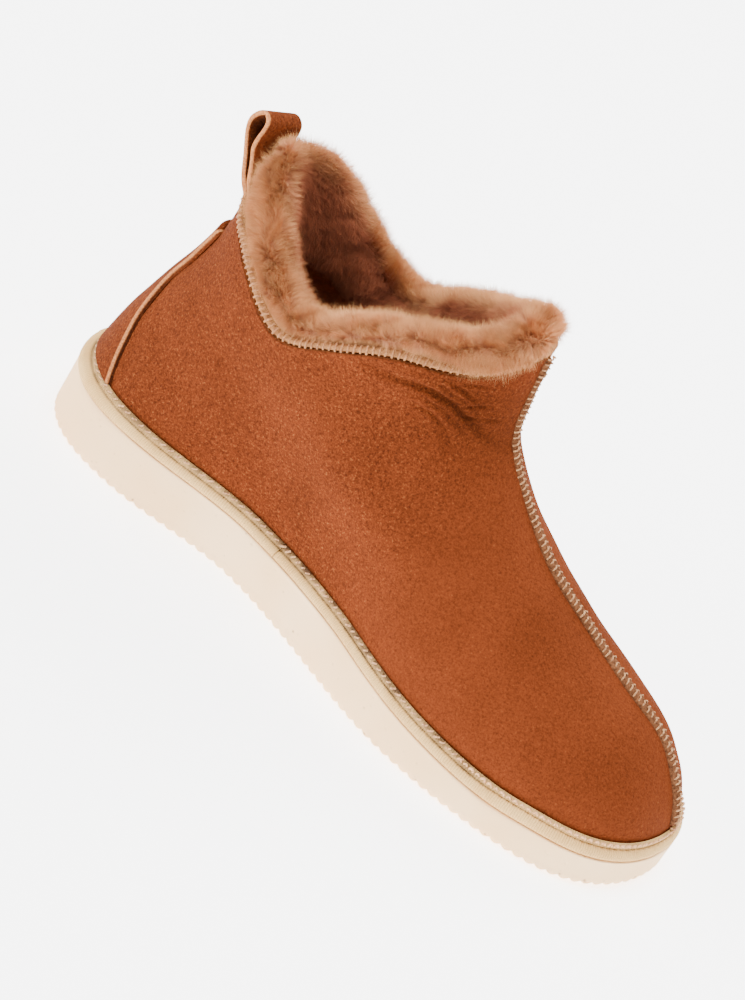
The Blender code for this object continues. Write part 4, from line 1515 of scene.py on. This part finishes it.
@dataclass
class FrontSeam(Part):
    """Ridge where the two halves of the upper butt together, whipped over with thread."""

    finish: Finish = RolledSeam("butted_seam_edges", "#4A2C1A", "#7A4E32")
    thread: Finish = SpunThread("seam_thread", "#B98B60", "#845636")
    half: float = 1.85
    height: float = 1.5
    fullness: float = 0.8
    groove: float = 0.5
    groove_width: float = 0.4
    keel: float = 1.4
    foot_up: float = 7.6
    middle: float = -0.3
    wander: Lump = Lump(24.0, 54, 0.45)
    sunk: float = 0.1
    stitch_out: float = 0.2
    end_rows: float = 3.0
    rows: int = 200
    stitch_rows: int = 400
    sides: int = 22
    near: Bars = Bars(2.25, (0.5, -2.0, 0.25), (0.1, -1.15, 2.5), (-0.5, 0.1, 0.95), 0.33, 52)
    far: Bars = Bars(2.25, (0.5, 1.7, 0.25), (0.1, 1.1, 2.1), (-0.5, 0.15, 1.0), 0.29, 53)

    def climbs(self, count: int, down: bool = False) -> Array:
        """Climbs of the seam's middle line from its foot to the collar, or down again."""
        ends = [float(column(SOLE_TOP, RINGS[1].front_x)) + self.foot_up,
                float(self.last.wall(0.5, 1.0, 0.0)[2])]
        ends = self.last.level_at_height(np.array([0.5, 0.5]), np.array(ends[::-1] if down else ends))
        return np.linspace(ends[0], ends[1], count) / self.last.collar_level(0.5)

    def sideways(self, climb: Array) -> Array:
        """Distance that the hand-sewn line wanders from the middle of the last."""
        return self.middle + uneven(self.last.wall(0.5, climb, 0.0), self.wander)

    def ridge(self) -> Surface:
        """Two rolled edges side by side, closed at both ends."""
        climb = self.climbs(self.rows)
        angle = np.linspace(0.0, 2.0 * np.pi, self.sides, endpoint=False)
        across = self.half * np.cos(angle)
        crown = np.clip(np.sin(angle), 0.0, None) ** self.fullness
        up = self.height * crown - self.groove * np.exp(-(across / self.groove_width) ** 2) * (crown > 0.0)
        up = up - self.keel * np.clip(-np.sin(angle), 0.0, None) ** 0.5
        row = np.arange(self.rows)
        ends = np.clip(np.minimum(row, row[::-1]) / self.end_rows, 0.0, 1.0)[:, None] ** 0.5
        turn = self.last.turn_beside(0.5, climb[:, None], across * ends + self.sideways(climb)[:, None])
        return Surface.of_rows(self.last.wall(turn, climb[:, None], self.sunk + up * ends), ring=True)

    def build(self) -> list[Object]:
        """Ridge and the two rows of slanted stitches that meet along it."""
        body = self.ridge().object("front_seam_ridge", self.finish.material(), welded=True)
        pieces = [mount(body, "thread", "front_seam")]
        climb = self.climbs(self.stitch_rows, down=True)
        turn = self.last.turn_beside(0.5, climb, self.sideways(climb))
        line = self.last.wall(turn, climb, self.stitch_out), self.last.wall_normal(turn, climb)
        for name, bars in (("front_seam_near_stitches", self.near), ("front_seam_far_stitches", self.far)):
            pieces.append(mount(bars.lay(name, path_guide(*line), self.thread), "thread"))
        return pieces


@dataclass
class CollarSeam(Part):
    """Overlocked edge round the collar: a cord of felted edge under slanted wraps."""

    finish: Finish = RolledSeam()
    thread: Finish = SpunThread()
    radius: float = 1.35
    centre_in: float = 1.5
    centre_up: float = 2.1
    around: int = 560
    sides: int = 14
    heel_out: float = 0.9
    heel: Span = Span(0.07, 0.13)
    inside_step: float = 2.0
    tilt: float = 0.35
    wraps: Bars = Bars(2.2, (-0.35, -1.35, 0.75), (0.0, 0.0, 1.85), (0.35, 1.35, 0.75), 0.42, 61, 0.1, 0.1)

    def build(self) -> list[Object]:
        """Cord and its wraps."""
        turn = np.arange(self.around) / self.around
        angle = 2.0 * np.pi * np.arange(self.sides) / self.sides
        inward = self.centre_in - self.heel_out * self.heel.drop(from_heel(turn))
        rows = self.last.collar(turn[:, None], inward[:, None] + self.radius * np.cos(angle),
                                self.centre_up + self.radius * np.sin(angle)[None, :])
        cord = Surface.of_rows(rows, ring=True, loop=True)
        body = cord.object("collar_seam_cord", self.finish.material())
        centre = self.last.collar(turn, inward, self.centre_up)
        outward = centre - self.last.collar(turn, inward + self.inside_step, self.centre_up)
        outward[..., 2] += self.tilt * np.linalg.norm(outward, axis=-1)
        guide = path_guide(centre, unit(outward), closed=True)
        wraps = self.wraps.lay("collar_seam_wraps", guide, self.thread)
        return [mount(body, "thread", "collar_seam"), mount(wraps, "thread")]


class LoopRow(NamedTuple):
    """Side view of the loop at a share of its height: its middle and its half depth."""

    rise: float
    middle: float
    half: float


@dataclass
class PullLoop(Part):
    """Strap of suede folded into a slim loop at the back of the collar."""

    finish: Finish = BrushedSuede()
    width: float = 18.0
    thick: float = 1.3
    foot_in: float = 0.3
    foot_up: float = 4.7
    slit: float = 0.1
    twist: float = 1.9
    swing: float = 1.5
    top_z: float = 140.5
    rows: int = 110
    across: int = 16
    rim_share: float = 0.2
    rim_places: tuple[float, ...] = (0.0, 0.04, 0.12, 0.24, 0.4, 0.6, 0.8)
    edge_round: float = 0.5
    cut_edge: float = 0.2
    # Painted shade on the loop's inner face.
    inner_shade: float = 0.5
    shape: tuple[LoopRow, ...] = tuple(LoopRow(*row) for row in (
        (0.0, 0.0, 2.6), (0.1, -1.0, 2.5), (0.3, -1.6, 2.1), (0.45, -2.5, 2.1), (0.6, -2.9, 3.0),
        (0.75, -2.9, 4.1), (0.9, -2.5, 4.9), (1.0, -2.4, 5.2)))

    def places(self) -> Array:
        """Places across the strap from -1 to 1, closer together near both edges."""
        inner = 1.0 - self.rim_share
        rim = 1.0 - self.rim_share * np.array(self.rim_places)
        return np.concatenate([-rim, np.linspace(-inner, inner, self.across), rim[::-1]])

    def build(self) -> Object:
        """Strap from its foot over the fold and back."""
        foot = self.last.collar(0.0, self.foot_in, self.foot_up)
        angle = np.linspace(0.0, 2.0 * np.pi, self.rows)
        rise = (1.0 - np.cos(angle)) / 2.0
        lean = column(self.shape, rise)
        bow = np.sin(angle) * column(self.shape, rise, 2)
        side = self.thick * (angle / (2.0 * np.pi) - 0.5)
        inner = np.sign(bow) * np.maximum(np.abs(bow) - self.thick, self.slit)
        hole_foot = foot[2] + self.thick
        outer = foot[0] + side + lean - bow, foot[2] + (self.top_z - foot[2]) * rise
        hole = foot[0] + lean - inner, hole_foot + (self.top_z - self.thick - hole_foot) * rise
        place = self.places()
        across = place * self.width / 2.0
        over, under = (self.place(view[0][:, None], view[1][:, None], across[None, :], foot)
                       for view in (outer, hole))
        middle = (over + under) / 2.0
        border = np.broadcast_to(self.width / 2.0 * (1.0 - np.abs(place))[None, :], over.shape[:-1])
        near = round_edge(border, self.thick * self.edge_round)[..., None]
        edge = 1.0 - smooth_step(self.thick * self.cut_edge, self.thick * self.edge_round, border)
        sheets = [Surface.of_rows(middle + (sheet - middle) * near, edge=edge,
                                  shade=np.full(edge.shape, shade))
                  for sheet, shade in ((over, 0.0), (under, self.inner_shade))]
        piece = sheets[0].joined(sheets[1]).object("pull_loop_suede", self.finish.material(), welded=True)
        return mount(piece, "suede", "pull_loop")

    def place(self, depth: Array, height: Array, across: Array, foot: Array) -> Array:
        """Places in the slipper of points of the strap's side view."""
        turn = self.last.turn_at_side(np.ones_like(across), across)
        bend = self.last.collar(turn, self.foot_in, self.foot_up) - foot
        rise = np.clip((height - foot[2]) / (self.top_z - foot[2]), 0.0, 1.0)
        hug = (1.0 - rise) ** 3
        twist = self.twist * rise * across / (self.width / 2.0)
        swing = self.swing * np.sin(np.pi * rise) * across / (self.width / 2.0)
        x = depth + bend[..., 0] * hug + twist + swing
        return np.stack([x, np.broadcast_to(across, x.shape), height + bend[..., 2] * hug - twist], axis=-1)


# ---------------------------------------------------------------- fleece

@dataclass(frozen=True)
class Tuft:
    """A few wool hairs that start apart and lean together at their tips."""

    hairs: int = 24
    length: float = 4.4
    root_spread: float = 0.95
    tip_spread: float = 0.75
    width: float = 0.13
    turned: float = 0.5
    uneven: float = 0.6
    shortest: float = 0.65
    longest: float = 1.1
    long_share: float = 1.3
    long_every: int = 5
    seed: int = 71

    def build(self) -> Object:
        """Mesh of slim blades, with the share of the way to the tip at each point."""
        random = np.random.default_rng(self.seed)
        points = []
        for hair in range(self.hairs):
            facing = 2.0 * np.pi * (hair + random.uniform(0.0, self.uneven)) / self.hairs
            away = self.root_spread * math.sqrt(random.uniform())
            root = away * np.array([math.cos(facing), math.sin(facing)])
            tip = root + random.normal(0.0, self.tip_spread, 2)
            turned = np.pi / 2.0 + random.normal(0.0, self.turned)
            wide = self.width / 2.0 * np.array([math.cos(turned), math.sin(turned), 0.0])
            longer = self.long_share if hair % self.long_every == 0 else 1.0
            height = self.length * longer * random.uniform(self.shortest, self.longest)
            root = np.array([*root, 0.0])
            points += [root - wide, root + wide, np.array([*tip * longer, height])]
        mesh = bpy.data.meshes.new("tuft")
        mesh.from_pydata(np.array(points) * MM, [], np.arange(len(points)).reshape(-1, 3).tolist())
        carry(mesh, "along", np.tile([0.0, 0.0, 1.0], self.hairs))
        return link("tuft", mesh)


@dataclass(frozen=True)
class Pile:
    """Wool tufts grown all over a bed by one node tree."""

    spacing: float
    size: float
    stray: float
    seed: int
    tuft: Tuft = Tuft()
    face: Spot = (-0.15, -0.35, 1.0)
    shortest: float = 0.75
    longest: float = 1.2

    def grow(self, name: str, bed: Object, finish: Finish) -> Object:
        """Grow tufts on a bed.

        Args:
            name: Name of the new piece.
            bed: Mesh with a thickness, a lean and a length at each point, removed afterwards.
            finish: Finish of the wool.

        Returns:
            One mesh that holds every tuft.
        """
        tuft = self.tuft.build()
        recipe = Recipe(name, self.seed, self.stray, (
            TreeInput("Tuft", "Object", tuft),
            TreeInput("Density", "Float", 1.0 / (self.spacing * MM) ** 2),
            TreeInput("Size", "Float", self.size),
            TreeInput("Face", "Vector", self.face)))
        given, add = recipe.given, recipe.add
        thick, longer, lean = (
            add("GeometryNodeInputNamedAttribute", {"Name": key}, data_type=kind)[0]
            for key, kind in (("thick", "FLOAT"), ("longer", "FLOAT"), ("lean", "FLOAT_VECTOR")))
        dense = add("ShaderNodeMath", {0: thick, 1: given["Density"]}, operation="MULTIPLY")[0]
        spots = add("GeometryNodeDistributePointsOnFaces", {
            "Mesh": given["Geometry"], "Density": dense, "Seed": given["Seed"]})
        strayed = recipe.strayed()
        aimed = recipe.sum(spots["Normal"], lean, strayed)
        least, most = (add("ShaderNodeMath", {0: given["Size"], 1: share}, operation="MULTIPLY")[0]
                       for share in (self.shortest, self.longest))
        size = add("FunctionNodeRandomValue", {2: least, 3: most, "Seed": given["Seed"]},
                   data_type="FLOAT")[1]
        size = add("ShaderNodeMath", {0: size, 1: longer}, operation="MULTIPLY")[0]
        shape = add("GeometryNodeObjectInfo", {"Object": given["Tuft"]})["Geometry"]
        faced = recipe.sum(strayed, given["Face"])
        recipe.lay(spots["Points"], shape, aimed, faced, size, finish.material())
        piece = recipe.run(bed)
        bpy.data.objects.remove(tuft, do_unlink=True)
        return piece


class RollScale(NamedTuple):
    """Height of the roll on each side at a share of the way from heel to instep."""

    share: float
    inner: float
    outer: float


class Zone(NamedTuple):
    """A piece of the pile, between two turns."""

    name: str
    start: float
    end: float


@dataclass
class FleeceCollar(Part):
    """Roll of deep wool turned out over the collar, with its pile in several pieces.

    Turns count round the foot from the heel, and sides count round the section's places.
    """

    finish: Finish = FleeceBed()
    pile_finish: Finish = Fleece()
    section: tuple[Inset, ...] = tuple(Inset(*row) for row in (
        (4.0, -9.0), (3.3, 0.5), (2.6, 4.0), (1.0, 5.0), (0.2, 8.0), (2.4, 11.4), (6.5, 12.8), (11.5, 11.6),
        (15.2, 7.0), (16.0, 0.0), (14.0, -8.0), (8.5, -12.5)))
    scales: tuple[RollScale, ...] = tuple(RollScale(*row) for row in (
        (0.00, 2.10, 2.00), (0.015, 2.35, 2.50), (0.04, 2.35, 2.90), (0.10, 1.60, 2.80), (0.17, 1.30, 2.00),
        (0.25, 1.10, 1.30), (0.34, 1.00, 0.70), (0.44, 0.85, 0.70), (0.65, 0.74, 0.62), (0.90, 0.78, 0.80),
        (0.97, 0.65, 0.95), (1.00, 0.45, 0.45)))
    stands_from: float = 5.0
    loop_room: float = 2.0
    loop_room_turn: float = 0.045
    heel: Span = Span(0.07, 0.14)
    heel_in: float = 2.2
    heel_band: Band = Band(1.2, 2.2, 3.0, 4.4)
    front: Band = Band(0.34, 0.40, 0.45, 0.495)
    hang: float = 3.1
    hang_out: float = 0.7
    hang_band: Band = Band(1.2, 2.2, 4.0, 6.0)
    cleft: float = 2.0
    cleft_turn: float = 0.017
    cleft_band: Band = Band(2.8, 4.0, 5.5, 7.0)
    around: int = 300
    sides: int = 44
    sink: float = 1.8
    sink_band: Span = Span(1.0, 2.8)
    lump: Lump = Lump(5.0, 82, 0.4)
    lump_band: Span = Span(1.0, 2.0)
    smooth_front: float = 0.5
    comb: float = 0.13
    comb_size: float = 7.0
    comb_seeds: tuple[int, ...] = (83, 84, 85)
    comb_front: float = 0.15
    comb_down: float = 0.15
    droop: float = 0.55
    droop_band: Band = Band(2.0, 4.0, 5.0, 8.0)
    droop_longer: float = 0.1
    trim_band: Span = Span(2.4, 4.0)
    trim_up: float = 0.25
    trim_shorter: float = 0.42
    under_band: Span = Span(2.4, 3.4)
    under_shorter: float = 0.35
    behind_turns: Span = Span(0.022, 0.034)
    behind_band: Span = Span(4.4, 5.6)
    behind_shorter: float = 0.4
    # Painted light and shade on the wool: darker low on the roll, lighter on its crest and at its front.
    low_painted_shade: float = 0.10
    low_band: Span = Span(2.5, 5.0)
    crest_painted_light: float = 0.14
    crest_band: Band = Band(3.8, 5.2, 6.0, 7.6)
    front_painted_light: float = 0.10
    front_painted_light_turn: float = 0.07
    # Painted shade on the roll's inward face, where it runs into the shoe.
    deep_front: Span = Span(0.16, 0.30)
    deep_from: float = 6.2
    deep_later: float = 0.9
    deep_width: float = 1.5
    deep_end: Span = Span(11.0, 12.0)
    bare: Span = Span(1.6, 2.6)
    bare_front: Span = Span(1.0, 0.9)
    bare_end: Span = Span(10.6, 11.6)
    pile: Pile = Pile(0.75, 1.0, 0.2, 81)
    zones: tuple[Zone, ...] = (
        Zone("fleece_pile_inner_heel", 0.0, 0.24), Zone("fleece_pile_inner_front", 0.24, 0.5),
        Zone("fleece_pile_outer_front", 0.5, 0.76), Zone("fleece_pile_outer_heel", 0.76, 1.0))

    def points(self, turn: Array, side: Array) -> Array:
        """Points of the roll."""
        knots = range(-2, len(self.section) + 3)
        rows = [self.section[k % len(self.section)] for k in knots]
        inward, up = (cubic_through(knots, values, side) for values in zip(*rows))
        heel = from_heel(turn)
        room = self.loop_room * np.minimum(1.0, (self.loop_room_turn - heel) / (self.loop_room_turn / 3.0))
        inward = np.where(heel < self.loop_room_turn, np.maximum(inward, room), inward)
        inner, outer = (column(self.scales, share_of(turn), number) for number in (1, 2))
        scale = np.where(on_inner_side(turn), inner, outer)
        stand = np.clip(up - self.stands_from, 0.0, None)
        hang = self.front.at(turn) * self.hang_band.at(side)
        cleft = self.cleft * np.exp(-((turn - 0.5) / self.cleft_turn) ** 2) * self.cleft_band.at(side)
        inward = inward + self.heel_in * self.heel.drop(heel) * self.heel_band.at(side)
        inward = inward + cleft - self.hang_out * hang
        return self.last.collar(turn, inward, up + stand * (scale - 1.0) - self.hang * hang)

    def rows(self, turn: Array, side: Array) -> tuple[Array, Array]:
        """Rows of the wool bed, sunk below the tips, and their outward directions."""
        base = self.points(*np.broadcast_arrays(turn, side))
        around, upward = (np.roll(base, -1, axis=axis) - np.roll(base, 1, axis=axis) for axis in (0, 1))
        outward = unit(np.cross(around, upward))
        centre = base.mean(axis=1, keepdims=True)
        outward = outward * np.sign(np.sum(outward * (base - centre), axis=-1).mean())
        lumps = uneven(base, self.lump) * (1.0 - self.smooth_front * self.front.at(turn))
        height = lumps * self.lump_band.rise(side) - self.sink * self.sink_band.rise(side)
        return base + outward * height[..., None], outward

    def combing(self, rows: Array, turn: Array, side: Array) -> tuple[Array, Array]:
        """Lean of the wool and how much longer it is, at each point of the bed."""
        lean = np.stack([waves(rows, self.comb_size, seed) for seed in self.comb_seeds], axis=-1)
        lean *= self.comb
        lean[..., 2] -= self.comb_down
        front = self.front.at(turn)
        hang = front * self.droop_band.at(side)
        trimmed = self.trim_band.drop(side) * (1.0 - front)
        behind = self.behind_turns.drop(from_heel(turn)) * self.behind_band.drop(side)
        under = front * self.under_band.drop(side)
        lean = lean * (1.0 - self.comb_front * front)[..., None]
        lean[..., 2] -= self.droop * hang
        lean[..., 2] += self.trim_up * trimmed
        longer = 1.0 + self.droop_longer * hang - self.under_shorter * under - self.trim_shorter * trimmed
        return lean, longer * (1.0 - self.behind_shorter * behind)

    def tone(self, turn: Array, side: Array) -> Array:
        """Painted light and shade on the wool: darker under the roll, lighter on its crest and its front.
        """
        front = np.exp(-((turn - 0.5) / self.front_painted_light_turn) ** 2)
        low, crest = self.low_band.drop(side), self.crest_band.at(side)
        return 1.0 - self.low_painted_shade * low + self.crest_painted_light * crest + self.front_painted_light * front

    def build(self) -> list[Object]:
        """Bed and pile."""
        turn = np.arange(self.around)[:, None] / self.around
        side = np.arange(self.sides)[None, :] * len(self.section) / self.sides
        rows, outward = self.rows(turn, side)
        # Painted shade on the roll's inward face, starting later towards the front.
        starts = self.deep_from + self.deep_later * self.deep_front.rise(from_heel(turn))
        deep = smooth_step(starts, starts + self.deep_width, side) * self.deep_end.drop(side)
        bed = Surface.of_rows(rows, ring=True, loop=True, deep=deep)
        body = bed.object("fleece_collar_bed", self.finish.material())
        pieces = [mount(body, "fleece", "fleece_collar")]
        bare = (start + more * self.front.at(turn) for start, more in zip(self.bare, self.bare_front))
        thick = smooth_step(*bare, side) * self.bare_end.drop(side)
        lean, longer = self.combing(rows, turn, side)
        values = {"lean": lean, "longer": longer, "deep": deep, "thick": thick,
                  "tone": self.tone(turn, side)}
        pile = replace(self.pile, spacing=self.pile.spacing * 1.0)
        for zone in self.zones:
            part = np.flatnonzero((turn >= zone.start - 1e-9) & (turn <= zone.end + 1.0 / self.around))
            if zone.end >= 1.0:
                part = np.append(part, 0)
            strip, *given = (np.concatenate([array[part], array[part][:, :1]], axis=1)
                             for array in (rows, *values.values()))
            ground = Surface.of_rows(strip, **dict(zip(values, given)))
            facing = np.cross(strip[1, 1] - strip[0, 1], strip[0, 2] - strip[0, 1]) @ outward[part[0], 1]
            if facing > 0.0:
                ground.faces = ground.faces[:, ::-1]
            guide = ground.object(zone.name + "_ground", closed=False)
            pieces.append(mount(pile.grow(zone.name, guide, self.pile_finish), "fleece"))
        return pieces


# ---------------------------------------------------------------- studio

class Lamp(NamedTuple):
    """Square soft lamp that faces the slipper."""

    name: str
    place: Spot
    size: float
    watts: float


@dataclass
class Studio:
    """White paper, soft lamps and the camera, in metres and degrees."""

    paper: Finish = Paper()
    half_width: float = 14.0
    drop: float = 0.00005
    sky: float = 0.6
    lamps: tuple[Lamp, ...] = (
        Lamp("key_lamp", (-1.05, -0.80, 0.95), 0.9, 22.0),
        Lamp("top_lamp", (-0.05, -0.25, 1.60), 0.9, 48.0),
        Lamp("back_lamp", (0.2, 1.3, 1.1), 1.2, 42.0))
    aim: Spot = (-0.0168, 0.0002, 0.0447)
    distance: float = 1.2152
    azimuth: float = 14.92
    elevation: float = 33.15
    roll: float = 31.47
    lens: float = 127.7

    def floor(self) -> None:
        """Sheet of paper that the slipper stands on."""
        mesh = bpy.data.meshes.new("studio_floor")
        w, z = self.half_width, -self.drop
        mesh.from_pydata([(-w, -w, z), (w, -w, z), (w, w, z), (-w, w, z)], [], [(0, 1, 2, 3)])
        mesh.materials.append(self.paper.material())
        link("studio_floor", mesh)

    def world(self) -> None:
        """Even white surroundings."""
        world = bpy.data.worlds.new("white_room")
        world.use_nodes = True
        feed(world.node_tree.nodes["Background"], {"Color": (1.0,) * 4, "Strength": self.sky})
        bpy.context.scene.world = world

    def put(self, name: str, data: bpy.types.ID, place: Vector, turn: Quaternion) -> Object:
        """Put a lamp or a camera at a place, turned from looking straight down."""
        thing = link(name, data)
        thing.location = place
        thing.rotation_mode = "QUATERNION"
        thing.rotation_quaternion = turn
        return thing

    def camera(self) -> None:
        """Long lens that looks down on the inner side, rolled so that the toe drops to the right."""
        azimuth, elevation = math.radians(self.azimuth), math.radians(self.elevation)
        back = Vector((math.sin(azimuth) * math.cos(elevation), -math.cos(azimuth) * math.cos(elevation),
                       math.sin(elevation)))
        data = bpy.data.cameras.new("camera")
        data.lens = self.lens
        data.dof.use_dof = False
        level = (-back).to_track_quat("-Z", "Y").to_matrix()
        turned = level @ Matrix.Rotation(math.radians(self.roll), 3, "Z")
        place = Vector(self.aim) + back * self.distance
        bpy.context.scene.camera = self.put("camera", data, place, turned.to_quaternion())

    def build(self) -> None:
        """Set up the whole studio."""
        self.floor()
        self.world()
        for lamp in self.lamps:
            light = bpy.data.lights.new(lamp.name, "AREA")
            light.shape = "SQUARE"
            light.size = lamp.size
            light.energy = lamp.watts
            place = Vector(lamp.place)
            self.put(lamp.name, light, place, (Vector(self.aim) - place).to_track_quat("-Z", "Y"))
        self.camera()


PARTS = (Outsole, Insole, Upper, Lining, WeltTape, HeelStay, FrontSeam, CollarSeam, PullLoop, FleeceCollar)


def main() -> None:
    """Build every piece in order, then the studio."""
    logging.basicConfig(level=logging.INFO, format="%(name)s: %(message)s")
    last = Last()
    for kind in PARTS:
        kind(last).build()
    Studio().build()
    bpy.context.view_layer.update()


if __name__ == "__main__":
    main()
